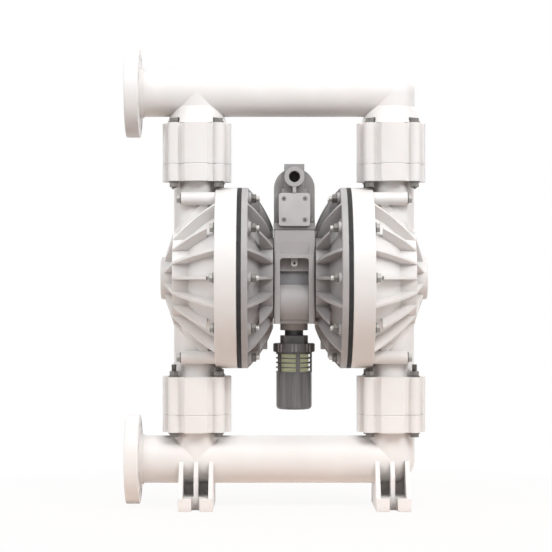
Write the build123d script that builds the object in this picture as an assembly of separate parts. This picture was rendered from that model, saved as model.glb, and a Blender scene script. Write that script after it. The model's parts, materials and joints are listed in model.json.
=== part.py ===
from build123d import *
import math
import os

# Air operated double diaphragm pump. Millimetres, +Z up, ports towards -X, front towards -Y.
# The origin lies on the floor, in the middle of the four foot slots, under the shaft.
# Each side piece is drawn for the +X side and mirrored for the -X side.

# Layout of the whole pump
SHAFT_Z = 515.0
DISC_R = 203.4
POD_X = 218.6
POD_FLANGE_T = 39.0
LOWER_CAGE_H = 85.0
UPPER_CAGE_H = 91.8
LOWER_POD_GAP = 17.6
UPPER_POD_GAP = 12.6
LOWER_PIPE_DROP = 102.5
UPPER_PIPE_RISE = 161.8

LOWER_JOINT_Z = SHAFT_Z - DISC_R - LOWER_POD_GAP - LOWER_CAGE_H
UPPER_JOINT_Z = SHAFT_Z + DISC_R + UPPER_POD_GAP + POD_FLANGE_T
LOWER_PIPE_Z = LOWER_JOINT_Z - LOWER_PIPE_DROP
UPPER_PIPE_Z = UPPER_JOINT_Z + UPPER_PIPE_RISE

# Fits and edges
SEAT_FIT = 0.2
RUNNING_FIT = 0.05
BALL_GAP = 0.3
EDGE = 1.5

# Pipes and port flanges: DN80, PN10
PIPE_R = 53.3
PIPE_BORE_R = 40.0
PORT_X = 377.5
PORT_FLANGE_R = 100.0
PORT_FLANGE_T = 31.0
PORT_COLLAR_R = 56.5
PORT_COLLAR_T = 8.0
PORT_BOLT_PCD = 160.0
PORT_BOLTS = 8
PORT_HOLE_R = 9.0

# M12 fasteners
BOLT_R = 6.0
BOLT_HOLE_R = 6.75
HEX_AF = 19.0
HEAD_H = 7.5
NUT_H = 10.8
WASHER_R = 12.0
WASHER_T = 2.5

# Pods: the four ball valve housings between the manifolds and the chambers
POD_R = 77.4
POD_BOLT_PITCH = 99.4
POD_BOSS_R = 13.6
POD_WALL_R = 66.5
POD_EAR_HALF_W = 26.0
POD_WEB_R = 3.5
POD_EDGE = 1.2
CONE_TOP_R = 67.5
CONE_RISE = 38.0
HEAD_POCKET_GAP = 0.5
POD_STUD_OUT = 2.0
POD_STUD_OUT_LOWER = 15.0
POD_STUD_OUT_UNDER_DISC = 8.0

# Ball valves
BALL_R = 44.0
BALL_LIFT = 18.0
CAGE_R = 56.0
CAGE_BORE_H = 71.0
CAGE_CONE_H = 14.0
FIN_T = 8.0
FIN_TIP_R = 16.0
FIN_CLEARANCE = 0.7
FIN_START = 8.0
FIN_TOP = 88.0
SEAT_R = 58.0
SEAT_H = 16.0
SEAT_BORE_R = 33.0
SEAT_MOUTH_R = 40.0
SEAT_HALF_ANGLE = 37.0
SEAL_IN_R = 47.0
SEAL_OUT_R = 53.0
SEAL_T = 2.5

# Disc joint: stations along X from the pump's middle
BLOCK_HALF_W = 46.2
GASKET_T = 1.0
AIR_CHAMBER_L = 69.7
AIR_RIM_T = 13.9
DIAPHRAGM_T = 9.7
LIQUID_RIM_T = 49.1
DISC_RIM_W = 37.4
CHAMBER_BOLT_IN = 17.4
CHAMBER_BOLTS = 10
LUG_R = 13.5
LUG_T = 7.5
CHAMBER_STUD_OUT = 7.2
LONG_BOSS_R = 14.5
LONG_BOSS_X = 252.0
LONG_BOSS_SINE = 0.9

AIR_BACK_X = BLOCK_HALF_W + GASKET_T
AIR_FACE_X = AIR_BACK_X + AIR_CHAMBER_L
AIR_RIM_X = AIR_FACE_X - AIR_RIM_T
LIQUID_FACE_X = AIR_FACE_X + DIAPHRAGM_T
LIQUID_RIM_X = LIQUID_FACE_X + LIQUID_RIM_T
BEAD_X = AIR_FACE_X + DIAPHRAGM_T / 2
CHAMBER_BOLT_R = DISC_R - CHAMBER_BOLT_IN

# Liquid chamber: dome, drum, hub, duct and ribs
WALL = 9.0
RIB_T = 7.0
RIB_COUNT = 20
DOME_BULGE = 7.5
DRUM_R = 109.0
DRUM_X = 234.0
DRUM_END_X = 270.5
DRUM_END_R = 105.5
HUB_R = 48.0
HUB_END_X = 299.0
RIB_FOOT_IN = 2.9
RIB_BULGE = 7.0
CAP_RIB_X = 290.0
BOLT_RIB_X = 192.5
BEAD_W = 45.4
DUCT_R = 51.8
DUCT_BORE_R = 41.0

DOME_R = DISC_R - DISC_RIM_W
DOME_MID_R = (DOME_R + DRUM_R) / 2 + DOME_BULGE
RIB_FOOT_R = DISC_R - RIB_FOOT_IN
RIB_MID_R = (RIB_FOOT_R + DRUM_END_R) / 2 + RIB_BULGE
BEAD_IN_R = DISC_R - BEAD_W

# Air chamber: the same form, shallower and in metal
AIR_DRUM_R = 112.0
AIR_DRUM_X = 76.5
AIR_DOME_BULGE = 4.0
AIR_RIB_FOOT_IN = 1.4
AIR_RIB_BULGE = 9.0
AIR_WALL = 8.0
AIR_END_WALL = 12.0
AIR_LUG_X = 60.0
AIR_LUG_IN = 25.5
AIR_LUG_T = 16.0
END_SCREWS = 6
END_SCREW_PCD = 124.0
END_SCREW_R = 5.0
END_SCREW_HEAD_R = 8.0
END_SCREW_HEAD_H = 9.0
END_SCREW_IN = 14.0

AIR_DOME_MID_R = (DOME_R + AIR_DRUM_R) / 2 + AIR_DOME_BULGE
AIR_RIB_FOOT_R = DISC_R - AIR_RIB_FOOT_IN
AIR_RIB_MID_R = (AIR_RIB_FOOT_R + AIR_DRUM_R) / 2 + AIR_RIB_BULGE
AIR_LUG_DROP = CHAMBER_BOLT_R - AIR_LUG_IN

# Shaft, diaphragms and plates
STROKE = 50.0
SHAFT_R = 15.0
STUD_R = 10.0
ROLL_W = 63.0
PLATE_T = 7.0
INNER_BOSS_R = 26.0
INNER_BOSS_T = 14.0
OUTER_DOME_T = 18.0
OUTER_RIM_T = 5.0
MEMBRANE_T = 5.0
ROLL_DEPTH = 15.0
PLATE_R = BEAD_IN_R - ROLL_W
BUSH_R = 21.0
BUSH_L = 22.0
SEAL_RING_R = 24.0
SEAL_RING_L = 6.0

# Pilot rod: the plates push it at the ends of the stroke
ROD_R = 6.0
ROD_RISE = 40.0
ROD_SHIFT = 6.0
ROD_BUSH_R = 9.0
ROD_BUSH_L = 14.0
ROD_HOLE_R = 8.0

# Centre block
BLOCK_RISE = 105.4
BLOCK_DROP = 101.4
BLOCK_HALF_D = 92.0
BLOCK_EDGE_R = 5.0
WINDOW_HALF_W = 31.8
WINDOW_TOP = 43.8
WINDOW_LEDGE = 15.0
WINDOW_DEPTH = 26.0
PANEL_DEPTH = 34.0
WINDOW_CORNER_R = 7.0
TAP_BOSS_R = 7.8
TAP_HOLE_R = 2.7
TAP_BOSS_L = 14.0
TAP_RISE = 32.5
PANEL_HALF_W = 31.8
PANEL_FOOT = 53.0
PANEL_H = 27.0
PANEL_CORNER_R = 7.0
PANEL_TILT = 4.5
BULGE_R = 41.0
BULGE_DROP = 53.6
BULGE_DEPTH = 46.0
EXHAUST_BOSS_R = 31.0
EXHAUST_BOSS_H = 16.0
EXHAUST_R = 21.0
EXHAUST_H = 58.0

# Air valve
VALVE_BASE_H = 15.2
VALVE_GASKET_T = 1.4
VALVE_HALF_W = 45.2
VALVE_ARCH_H = 76.6
VALVE_TOP_H = 130.2
VALVE_TOP_HALF_W = 22.0
VALVE_FRONT = 76.0
VALVE_BACK = 66.0
VALVE_COLUMN_HALF_W = 28.0
VALVE_COLUMN_OUT = 12.0
INLET_RISE = 101.5
INLET_BOSS_R = 22.2
INLET_BOSS_OUT = 27.0
INLET_R = 13.2
INLET_DEPTH = 45.0
INLET_RIB_T = 7.2
INLET_RIB_OUT = 4.5
COVER_HALF_W = 34.8
COVER_H = 72.8
COVER_T = 7.0
COVER_RISE = 8.0
COVER_PAD_OUT = 17.0
COVER_CORNER_R = 5.7
COVER_SCREW_X = 23.3
COVER_SCREW_Z = 23.4
COVER_SCREW_R = 3.0
COVER_SCREW_HEAD_R = 5.0
COVER_SCREW_HEAD_H = 4.5
COVER_SCREW_IN = 10.0
VALVE_BOLT_X = 38.0
VALVE_BOLT_R = 4.0
VALVE_BOLT_HEAD_R = 6.5
VALVE_BOLT_HEAD_H = 8.0
VALVE_BOLT_IN = 18.0
SLEEVE_R = 24.0
SLEEVE_BORE_R = 16.0
SLEEVE_L = 84.0
SPOOL_L = 62.0
SPOOL_NECK_R = 11.0
SPOOL_SHIFT = 14.0
PLUG_T = 8.0
SPOOL_Y = -20.0

# Muffler under the exhaust
MUFFLER_NECK_R = 20.8
MUFFLER_NECK_H = 12.0
MUFFLER_WRENCH_AF = 62.0
MUFFLER_WRENCH_FLAT = 45.0
MUFFLER_WRENCH_H = 17.5
MUFFLER_RING_R = 45.0
MUFFLER_RING_H = 19.5
CAGE_OUT_R = 40.6
CAGE_WALL = 4.0
CAGE_H = 46.3
SLOT_ROWS = 4
SLOT_COLUMNS = 5
SLOT_H = 7.4
SLOT_PITCH = 10.5
SLOT_FIRST = 8.4
SLOT_BAR = 8.4
SLOT_BAR_FIRST = -77.0
ELEMENT_R = 33.0
ELEMENT_WALL = 9.0
CUP_R = 39.8
CUP_WALL = 3.5
CUP_H = 82.5
CUP_EDGE_R = 8.0

# Feet
FOOT_HALF_W = 38.3
FOOT_HALF_D = 112.0
FOOT_T = 29.0
FOOT_SLOT_R = 9.0
FOOT_SLOT_Y = 86.0
FOOT_RIB_T = 10.0
FOOT_WEB_T = 14.0
FOOT_CORNER_R = 6.0


def turned_x(*edges):
    """Solid turned about the shaft axis from a closed outline drawn as (x, radius)."""
    return Pos(0, 0, SHAFT_Z) * revolve(make_face(Curve() + list(edges)), Axis.X)


def ring_x(inner, outer, start, end):
    """Plain ring about the shaft axis between two stations along X."""
    return turned_x(
        Polyline((start, inner), (end, inner), (end, outer), (start, outer), close=True)
    )


def rod_x(radius, start, end, y=0.0, z=0.0):
    """Round bar along X at a place (y, z) measured from the shaft axis."""
    bar = Cylinder(radius, end - start, align=(Align.CENTER, Align.CENTER, Align.MIN))
    return Pos(start, y, SHAFT_Z + z) * (Rot(0, 90, 0) * bar)


def rod_z(radius, bottom, top, x=0.0, y=0.0):
    """Round bar along Z."""
    bar = Cylinder(radius, top - bottom, align=(Align.CENTER, Align.CENTER, Align.MIN))
    return Pos(x, y, bottom) * bar


def rod_y(radius, front, back, x=0.0, z=0.0):
    """Round bar along Y."""
    bar = Cylinder(radius, back - front, align=(Align.CENTER, Align.CENTER, Align.MIN))
    return Pos(x, front, z) * (Rot(-90, 0, 0) * bar)


def block(x0, x1, y0, y1, z0, z1):
    """Box between six planes."""
    return Pos((x0 + x1) / 2, (y0 + y1) / 2, (z0 + z1) / 2) * Box(x1 - x0, y1 - y0, z1 - z0)


def turned_z(x, *edges):
    """Solid turned about a vertical axis at x, from an outline drawn as (radius, z)."""
    face = make_face(Curve() + list(edges))
    return Pos(x, 0, 0) * revolve(Plane.XZ * face, Axis.Z)


def hexagon(across_flats, height):
    """Hexagonal prism that stands on the XY plane."""
    return extrude(RegularPolygon(across_flats / math.sqrt(3), 6), height)


def bolt_angles():
    """Angles of the disc bolts about the shaft, from the front, in degrees."""
    return [k * 360 / CHAMBER_BOLTS for k in range(CHAMBER_BOLTS)]


def disc_place(angle, radius):
    """Y and Z from the shaft axis of a place on the disc, the angle counted from the front."""
    return -radius * math.cos(math.radians(angle)), radius * math.sin(math.radians(angle))


def is_long(angle):
    """The top and bottom bolts, which run through long bosses beside the pods."""
    return abs(math.sin(math.radians(angle))) > LONG_BOSS_SINE


def star(count, first_angle, start, end, thickness):
    """Radial plates through the shaft axis, spread evenly over a full turn."""
    plates = Part()
    for k in range(count // 2):
        angle = first_angle + k * 360 / count
        plate = Box(end - start, 2 * DISC_R, thickness)
        plates += Pos((start + end) / 2, 0, SHAFT_Z) * (Rot(-angle, 0, 0) * plate)
    return plates


def pod_section():
    """Round wall with four bolt bosses and four wide ears, and a groove beside each boss."""
    cross = Rectangle(2 * POD_EAR_HALF_W, 2 * POD_R) + Rectangle(2 * POD_R, 2 * POD_EAR_HALF_W)
    outline = Circle(POD_WALL_R) + (Circle(POD_R) & cross)
    for place in GridLocations(POD_BOLT_PITCH, POD_BOLT_PITCH, 2, 2):
        outline += place * Circle(POD_BOSS_R)
    return fillet(outline.vertices(), POD_WEB_R)


def pod_body(bottom, top, joint):
    """Length of pod housing at POD_X, chamfered round its joint face."""
    body = Pos(POD_X, 0, bottom) * extrude(pod_section(), top - bottom)
    return chamfer(body.edges().group_by(Axis.Z)[0 if joint == bottom else -1], POD_EDGE)


def pod_bolt_places():
    """X and Y of the four bolts of the pod at POD_X."""
    half = POD_BOLT_PITCH / 2
    return [(POD_X + i * half, j * half) for i in (-1, 1) for j in (-1, 1)]


def pod_holes(bottom, top):
    """Clearance holes of the four pod bolts."""
    holes = Part()
    for x, y in pod_bolt_places():
        holes += rod_z(BOLT_HOLE_R, bottom, top, x, y)
    return holes


def cage_bore(joint_z, throat_r, top):
    """Hollow above a joint: wide ball cage, cone, then the throat."""
    cone = joint_z + CAGE_BORE_H
    return turned_z(
        POD_X,
        Polyline(
            (0, joint_z),
            (CAGE_R, joint_z),
            (CAGE_R, cone),
            (throat_r, cone + CAGE_CONE_H),
            (throat_r, top),
            (0, top),
            close=True,
        ),
    )


def cage_fins(joint_z, throat_r):
    """Four fins that guide the ball and stop it at the top of its lift."""
    reach = BALL_R + FIN_CLEARANCE
    high = joint_z + ball_seat_height() + BALL_LIFT
    tip = high + math.sqrt(reach**2 - FIN_TIP_R**2)
    mid = reach * math.sqrt(0.5)
    cone = joint_z + CAGE_BORE_H
    top = joint_z + FIN_TOP
    outline = [
        Line((CAGE_R + 1, joint_z + FIN_START), (reach, joint_z + FIN_START + CAGE_R - reach)),
        Line((reach, joint_z + FIN_START + CAGE_R - reach), (reach, high)),
        ThreePointArc((reach, high), (mid, high + mid), (FIN_TIP_R, tip)),
        Polyline(
            (FIN_TIP_R, tip),
            (FIN_TIP_R, top),
            (throat_r + 1, top),
            (throat_r + 1, cone + CAGE_CONE_H),
            (CAGE_R + 1, cone),
            (CAGE_R + 1, joint_z + FIN_START),
        ),
    ]
    fin = extrude(Plane.XZ * make_face(Curve() + outline), FIN_T / 2, both=True)
    return Part() + [Pos(POD_X, 0, 0) * (Rot(0, 0, 90 * k) * fin) for k in range(4)]


def ball_seat_height():
    """Height of the resting ball's centre above the joint."""
    half = math.radians(SEAT_HALF_ANGLE)
    contact_r = BALL_R * math.cos(half)
    depth = (SEAT_MOUTH_R - contact_r) / math.tan(half)
    return BALL_R * math.sin(half) - depth + BALL_GAP / math.sin(half)


def seat_recess(joint_z):
    """Counterbore for the seat ring below a joint."""
    return rod_z(SEAT_R, joint_z - SEAT_H, joint_z, POD_X)


def seat_ring(joint_z):
    """Ring with a conical mouth for the ball and a groove for the seal ring."""
    mouth = (SEAT_MOUTH_R - SEAT_BORE_R) / math.tan(math.radians(SEAT_HALF_ANGLE))
    ring = turned_z(
        POD_X,
        Polyline(
            (SEAT_BORE_R, joint_z - SEAT_H),
            (SEAT_R - SEAT_FIT, joint_z - SEAT_H),
            (SEAT_R - SEAT_FIT, joint_z),
            (SEAT_MOUTH_R, joint_z),
            (SEAT_BORE_R, joint_z - mouth),
            close=True,
        ),
    )
    return ring - seal_ring(joint_z)


def seal_ring(joint_z):
    """Flat seal ring in the top of a seat."""
    return turned_z(
        POD_X,
        Polyline(
            (SEAL_IN_R, joint_z - SEAL_T),
            (SEAL_OUT_R, joint_z - SEAL_T),
            (SEAL_OUT_R, joint_z),
            (SEAL_IN_R, joint_z),
            close=True,
        ),
    )


def ball(joint_z):
    """Valve ball at rest just above its seat."""
    return Pos(POD_X, 0, joint_z + ball_seat_height()) * Sphere(BALL_R)


def mirrored(shape):
    """The same piece on the -X side."""
    return mirror(shape, Plane.YZ)


def port_pipe(axis_z):
    """Pipe from the port flange to the blind end over the +X pod, with its flange."""
    pipe = rod_x(PIPE_R, -PORT_X, POD_X, z=axis_z - SHAFT_Z)
    pipe += Pos(POD_X, 0, axis_z) * Sphere(PIPE_R)
    flange = Pos(0, 0, axis_z - SHAFT_Z) * turned_x(
        Polyline(
            (-PORT_X, 0),
            (-PORT_X, PORT_FLANGE_R - EDGE),
            (-PORT_X + EDGE, PORT_FLANGE_R),
            (-PORT_X + PORT_FLANGE_T - EDGE, PORT_FLANGE_R),
            (-PORT_X + PORT_FLANGE_T, PORT_FLANGE_R - EDGE),
            (-PORT_X + PORT_FLANGE_T, PORT_COLLAR_R),
            (-PORT_X + PORT_FLANGE_T + PORT_COLLAR_T, PORT_COLLAR_R),
            (-PORT_X + PORT_FLANGE_T + PORT_COLLAR_T, 0),
            close=True,
        )
    )
    return pipe + flange


def port_bore(axis_z):
    """Hollow of the pipe, closed round at the blind end, with the flange bolt holes."""
    bore = rod_x(PIPE_BORE_R, -PORT_X, POD_X, z=axis_z - SHAFT_Z)
    bore += Pos(POD_X, 0, axis_z) * Sphere(PIPE_BORE_R)
    for k in range(PORT_BOLTS):
        y, z = disc_place((k + 0.5) * 360 / PORT_BOLTS, PORT_BOLT_PCD / 2)
        bore += rod_x(PORT_HOLE_R, -PORT_X, -PORT_X + PORT_FLANGE_T, y, z + axis_z - SHAFT_Z)
    return bore


def foot():
    """Foot under the +X pod: slotted plate, three ribs and a cross web."""
    plate = extrude(
        fillet(Rectangle(2 * FOOT_HALF_W, 2 * FOOT_HALF_D).vertices(), FOOT_CORNER_R), FOOT_T
    )
    slope = [(-FOOT_HALF_D, 0), (-FOOT_HALF_D, FOOT_T), (-PIPE_R + 1, LOWER_PIPE_Z)]
    outline = Polyline(*slope, *[(-y, z) for y, z in reversed(slope)], close=True)
    rib = extrude(Plane.YZ * make_face(outline), FOOT_RIB_T / 2, both=True)
    offset = FOOT_HALF_W - FOOT_RIB_T / 2
    web = block(-offset, offset, -FOOT_WEB_T / 2, FOOT_WEB_T / 2, 0, LOWER_PIPE_Z)
    shape = Part() + [plate, web] + [Pos(x, 0, 0) * rib for x in (-offset, 0, offset)]
    for side in (-1, 1):
        shape -= rod_z(FOOT_SLOT_R, 0, LOWER_PIPE_Z, 0, side * FOOT_SLOT_Y)
        mouth = sorted((side * FOOT_SLOT_Y, side * (FOOT_HALF_D + 1)))
        shape -= block(-FOOT_SLOT_R, FOOT_SLOT_R, *mouth, 0, LOWER_PIPE_Z)
    return Pos(POD_X, 0, 0) * shape


def lower_manifold():
    """Suction manifold with its feet and the seat pockets of the lower pods."""
    flange_z = LOWER_JOINT_Z - POD_FLANGE_T
    pod = pod_body(flange_z, LOWER_JOINT_Z, LOWER_JOINT_Z)
    pod += rod_z(PIPE_R, LOWER_PIPE_Z, flange_z, POD_X)
    pod += foot()
    hollow = rod_z(PIPE_BORE_R, LOWER_PIPE_Z, LOWER_JOINT_Z, POD_X)
    hollow += seat_recess(LOWER_JOINT_Z) + pod_holes(flange_z, LOWER_JOINT_Z)
    shape = port_pipe(LOWER_PIPE_Z) + pod + mirrored(pod)
    return shape - hollow - mirrored(hollow) - port_bore(LOWER_PIPE_Z)


def upper_manifold():
    """Discharge manifold with the tall ball housings of the upper pods."""
    top = UPPER_JOINT_Z + UPPER_CAGE_H
    riser = turned_z(
        POD_X,
        Polyline(
            (0, top),
            (CONE_TOP_R, top),
            (PIPE_R, top + CONE_RISE),
            (PIPE_R, UPPER_PIPE_Z),
            (0, UPPER_PIPE_Z),
            close=True,
        ),
    )
    pod = pod_body(UPPER_JOINT_Z, top, UPPER_JOINT_Z) + riser
    hollow = cage_bore(UPPER_JOINT_Z, PIPE_BORE_R, UPPER_PIPE_Z) + pod_holes(UPPER_JOINT_Z, top)
    pocket_top = top + WASHER_T + HEAD_H + EDGE
    for x, y in pod_bolt_places():
        hollow += rod_z(WASHER_R + HEAD_POCKET_GAP, top, pocket_top, x, y)
    fins = cage_fins(UPPER_JOINT_Z, PIPE_BORE_R)
    shape = port_pipe(UPPER_PIPE_Z) + pod + mirrored(pod)
    shape = shape - hollow - mirrored(hollow) - port_bore(UPPER_PIPE_Z)
    return shape + fins + mirrored(fins)


def liquid_dome():
    """Solid form of dome, drum and hub, without the ribs."""
    mid_x = (LIQUID_RIM_X + DRUM_X) / 2
    return turned_x(
        Line((LIQUID_FACE_X, 0), (LIQUID_FACE_X, DISC_R - EDGE)),
        Polyline(
            (LIQUID_FACE_X, DISC_R - EDGE),
            (LIQUID_FACE_X + EDGE, DISC_R),
            (LIQUID_RIM_X - EDGE, DISC_R),
            (LIQUID_RIM_X, DISC_R - EDGE),
            (LIQUID_RIM_X, DOME_R),
        ),
        ThreePointArc((LIQUID_RIM_X, DOME_R), (mid_x, DOME_MID_R), (DRUM_X, DRUM_R)),
        Polyline(
            (DRUM_X, DRUM_R),
            (DRUM_END_X, DRUM_END_R),
            (DRUM_END_X, HUB_R),
            (HUB_END_X - EDGE, HUB_R),
            (HUB_END_X, HUB_R - EDGE),
            (HUB_END_X, 0),
            (LIQUID_FACE_X, 0),
        ),
    )


def liquid_ribs():
    """Radial ribs: every second one stops at a bolt, the others run on over the hub."""
    mid_x = (LIQUID_RIM_X + DRUM_END_X) / 2
    envelope = turned_x(
        Line((LIQUID_RIM_X - 1, 0), (LIQUID_RIM_X - 1, RIB_FOOT_R)),
        Line((LIQUID_RIM_X - 1, RIB_FOOT_R), (LIQUID_RIM_X, RIB_FOOT_R)),
        ThreePointArc(
            (LIQUID_RIM_X, RIB_FOOT_R), (mid_x, RIB_MID_R), (DRUM_END_X, DRUM_END_R)
        ),
        Polyline(
            (DRUM_END_X, DRUM_END_R), (CAP_RIB_X, HUB_R - 1), (CAP_RIB_X, 0), (LIQUID_RIM_X - 1, 0)
        ),
    )
    step = 360 / RIB_COUNT
    plain = star(CHAMBER_BOLTS, step, LIQUID_RIM_X - 1, CAP_RIB_X, RIB_T)
    bolted = star(CHAMBER_BOLTS, 0, BOLT_RIB_X, DRUM_END_X, RIB_T)
    return envelope & (plain + bolted)


def liquid_bowl():
    """Hollow of the dome, one wall inside its outer form."""
    mid_x = (LIQUID_RIM_X + DRUM_X) / 2
    end = DRUM_END_X - WALL
    return turned_x(
        Polyline(
            (LIQUID_FACE_X, 0), (LIQUID_FACE_X, BEAD_IN_R), (LIQUID_RIM_X - WALL, DOME_R - WALL)
        ),
        ThreePointArc(
            (LIQUID_RIM_X - WALL, DOME_R - WALL),
            (mid_x - WALL, DOME_MID_R - WALL),
            (DRUM_X - WALL, DRUM_R - WALL),
        ),
        Polyline((DRUM_X - WALL, DRUM_R - WALL), (end, DRUM_END_R - WALL), (end, 0), (LIQUID_FACE_X, 0)),
    )


def liquid_chamber():
    """Ribbed liquid chamber with its vertical duct, ball housing below and pod flange above."""
    cage_top = LOWER_JOINT_Z + LOWER_CAGE_H
    flange_z = UPPER_JOINT_Z - POD_FLANGE_T
    shape = liquid_dome() + liquid_ribs()
    shape += rod_z(DUCT_R, cage_top, flange_z, POD_X)
    shape += pod_body(LOWER_JOINT_Z, cage_top, LOWER_JOINT_Z)
    shape += pod_body(flange_z, UPPER_JOINT_Z, UPPER_JOINT_Z)
    holes = pod_holes(LOWER_JOINT_Z, cage_top) + pod_holes(flange_z, UPPER_JOINT_Z)
    for angle in bolt_angles():
        y, z = disc_place(angle, CHAMBER_BOLT_R)
        if is_long(angle):
            shape += rod_x(LONG_BOSS_R, LIQUID_FACE_X + EDGE, LONG_BOSS_X, y, z)
            holes += rod_x(BOLT_HOLE_R, LIQUID_FACE_X, LONG_BOSS_X, y, z)
        else:
            holes += rod_x(BOLT_HOLE_R, LIQUID_FACE_X, LIQUID_RIM_X, y, z)
    shape -= liquid_bowl()
    shape -= cage_bore(LOWER_JOINT_Z, DUCT_BORE_R, UPPER_JOINT_Z)
    shape -= seat_recess(UPPER_JOINT_Z)
    return shape - holes + cage_fins(LOWER_JOINT_Z, DUCT_BORE_R)


def air_chamber():
    """Ribbed air chamber between the diaphragm and the centre block."""
    mid_x = (AIR_DRUM_X + AIR_RIM_X) / 2
    shape = turned_x(
        Polyline((AIR_BACK_X, 0), (AIR_BACK_X, AIR_DRUM_R), (AIR_DRUM_X, AIR_DRUM_R)),
        ThreePointArc(
            (AIR_DRUM_X, AIR_DRUM_R), (mid_x, AIR_DOME_MID_R), (AIR_RIM_X, DOME_R)
        ),
        Polyline(
            (AIR_RIM_X, DOME_R),
            (AIR_RIM_X, DISC_R - EDGE),
            (AIR_RIM_X + EDGE, DISC_R),
            (AIR_FACE_X, DISC_R),
            (AIR_FACE_X, 0),
            (AIR_BACK_X, 0),
        ),
    )
    envelope = turned_x(
        Line((AIR_BACK_X, 0), (AIR_BACK_X, AIR_DRUM_R)),
        ThreePointArc(
            (AIR_BACK_X, AIR_DRUM_R), (mid_x - AIR_WALL * 2, AIR_RIB_MID_R), (AIR_RIM_X, AIR_RIB_FOOT_R)
        ),
        Polyline(
            (AIR_RIM_X, AIR_RIB_FOOT_R), (AIR_RIM_X + 1, AIR_RIB_FOOT_R), (AIR_RIM_X + 1, 0), (AIR_BACK_X, 0)
        ),
    )
    nut_end = AIR_RIM_X - LUG_T - NUT_H - CHAMBER_STUD_OUT
    plain = star(CHAMBER_BOLTS, 360 / RIB_COUNT, AIR_BACK_X, AIR_RIM_X + 1, RIB_T)
    bolted = star(CHAMBER_BOLTS, 0, AIR_BACK_X, nut_end, RIB_T)
    shape += envelope & (plain + bolted)
    shape += block(
        AIR_LUG_X,
        AIR_RIM_X - LUG_T,
        -AIR_LUG_T / 2,
        AIR_LUG_T / 2,
        SHAFT_Z - AIR_LUG_DROP,
        SHAFT_Z - AIR_DRUM_R,
    )
    holes = rod_x(SEAL_RING_R, AIR_BACK_X, AIR_BACK_X + SEAL_RING_L)
    holes += rod_x(SHAFT_R + 1, AIR_BACK_X, AIR_BACK_X + AIR_END_WALL)
    holes += rod_x(ROD_HOLE_R, AIR_BACK_X, AIR_BACK_X + AIR_END_WALL, z=ROD_RISE)
    for angle in bolt_angles():
        y, z = disc_place(angle, CHAMBER_BOLT_R)
        shape += rod_x(LUG_R, AIR_RIM_X - LUG_T, AIR_RIM_X + EDGE, y, z)
        holes += rod_x(BOLT_HOLE_R, AIR_RIM_X - LUG_T, AIR_FACE_X, y, z)
    for y, z in end_screw_places():
        holes += rod_x(END_SCREW_R + SEAT_FIT, AIR_BACK_X, AIR_BACK_X + AIR_END_WALL, y, z)
    bowl_x = AIR_BACK_X + AIR_END_WALL
    bowl = turned_x(
        Polyline(
            (bowl_x, 0), (bowl_x, AIR_DRUM_R - 2 * AIR_WALL), (AIR_DRUM_X + AIR_WALL / 2, AIR_DRUM_R - AIR_WALL)
        ),
        ThreePointArc(
            (AIR_DRUM_X + AIR_WALL / 2, AIR_DRUM_R - AIR_WALL),
            (mid_x + AIR_WALL, AIR_DOME_MID_R - AIR_WALL),
            (AIR_FACE_X, BEAD_IN_R),
        ),
        Line((AIR_FACE_X, BEAD_IN_R), (AIR_FACE_X, 0)),
        Line((AIR_FACE_X, 0), (bowl_x, 0)),
    )
    return shape - bowl - holes


def end_screw_places():
    """Y and Z, from the shaft axis, of the screws between air chamber and centre block."""
    return [disc_place(k * 360 / END_SCREWS, END_SCREW_PCD / 2) for k in range(END_SCREWS)]


def air_gasket():
    """Gasket between air chamber and centre block, inside the block's outline."""
    sheet = ring_x(SEAL_RING_R, BLOCK_HALF_D - EDGE, BLOCK_HALF_W, AIR_BACK_X)
    sheet -= rod_x(ROD_HOLE_R, BLOCK_HALF_W, AIR_BACK_X, z=ROD_RISE)
    for y, z in end_screw_places():
        sheet -= rod_x(END_SCREW_R + SEAT_FIT, BLOCK_HALF_W, AIR_BACK_X, y, z)
    return sheet


def end_screws():
    """Socket screws that hold one air chamber to the centre block."""
    head_x = AIR_BACK_X + AIR_END_WALL
    screws = []
    for y, z in end_screw_places():
        screw = rod_x(END_SCREW_R, BLOCK_HALF_W - END_SCREW_IN, head_x, y, z)
        screw += rod_x(END_SCREW_HEAD_R, head_x, head_x + END_SCREW_HEAD_H, y, z)
        screws.append(screw)
    return screws


def pod_fasteners(head_z, nut_z, inner_out, outer_out):
    """Bolts, nuts and washers of one pod, between a head face and a nut face."""
    up = 1 if head_z > nut_z else -1
    turn = Rot(0, 0, 0) if up > 0 else Rot(180, 0, 0)
    grip = abs(head_z - nut_z) + 2 * WASHER_T
    bolts, nuts, washers = [], [], []
    for x, y in pod_bolt_places():
        shank = grip + NUT_H + (outer_out if x > POD_X else inner_out)
        bolt = hexagon(HEX_AF, HEAD_H) + Pos(0, 0, -shank) * Cylinder(
            BOLT_R, shank, align=(Align.CENTER, Align.CENTER, Align.MIN)
        )
        bolts.append(Pos(x, y, head_z + up * WASHER_T) * (turn * bolt))
        nut = hexagon(HEX_AF, NUT_H) - Cylinder(
            BOLT_R, NUT_H, align=(Align.CENTER, Align.CENTER, Align.MIN)
        )
        nuts.append(Pos(x, y, min(nut_z - up * WASHER_T, nut_z - up * (WASHER_T + NUT_H))) * nut)
        for face in (head_z, nut_z - up * WASHER_T):
            low = min(face, face + up * WASHER_T)
            washers.append(
                rod_z(WASHER_R, low, low + WASHER_T, x, y) - rod_z(BOLT_R, low, low + WASHER_T, x, y)
            )
    return bolts, nuts, washers


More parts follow.
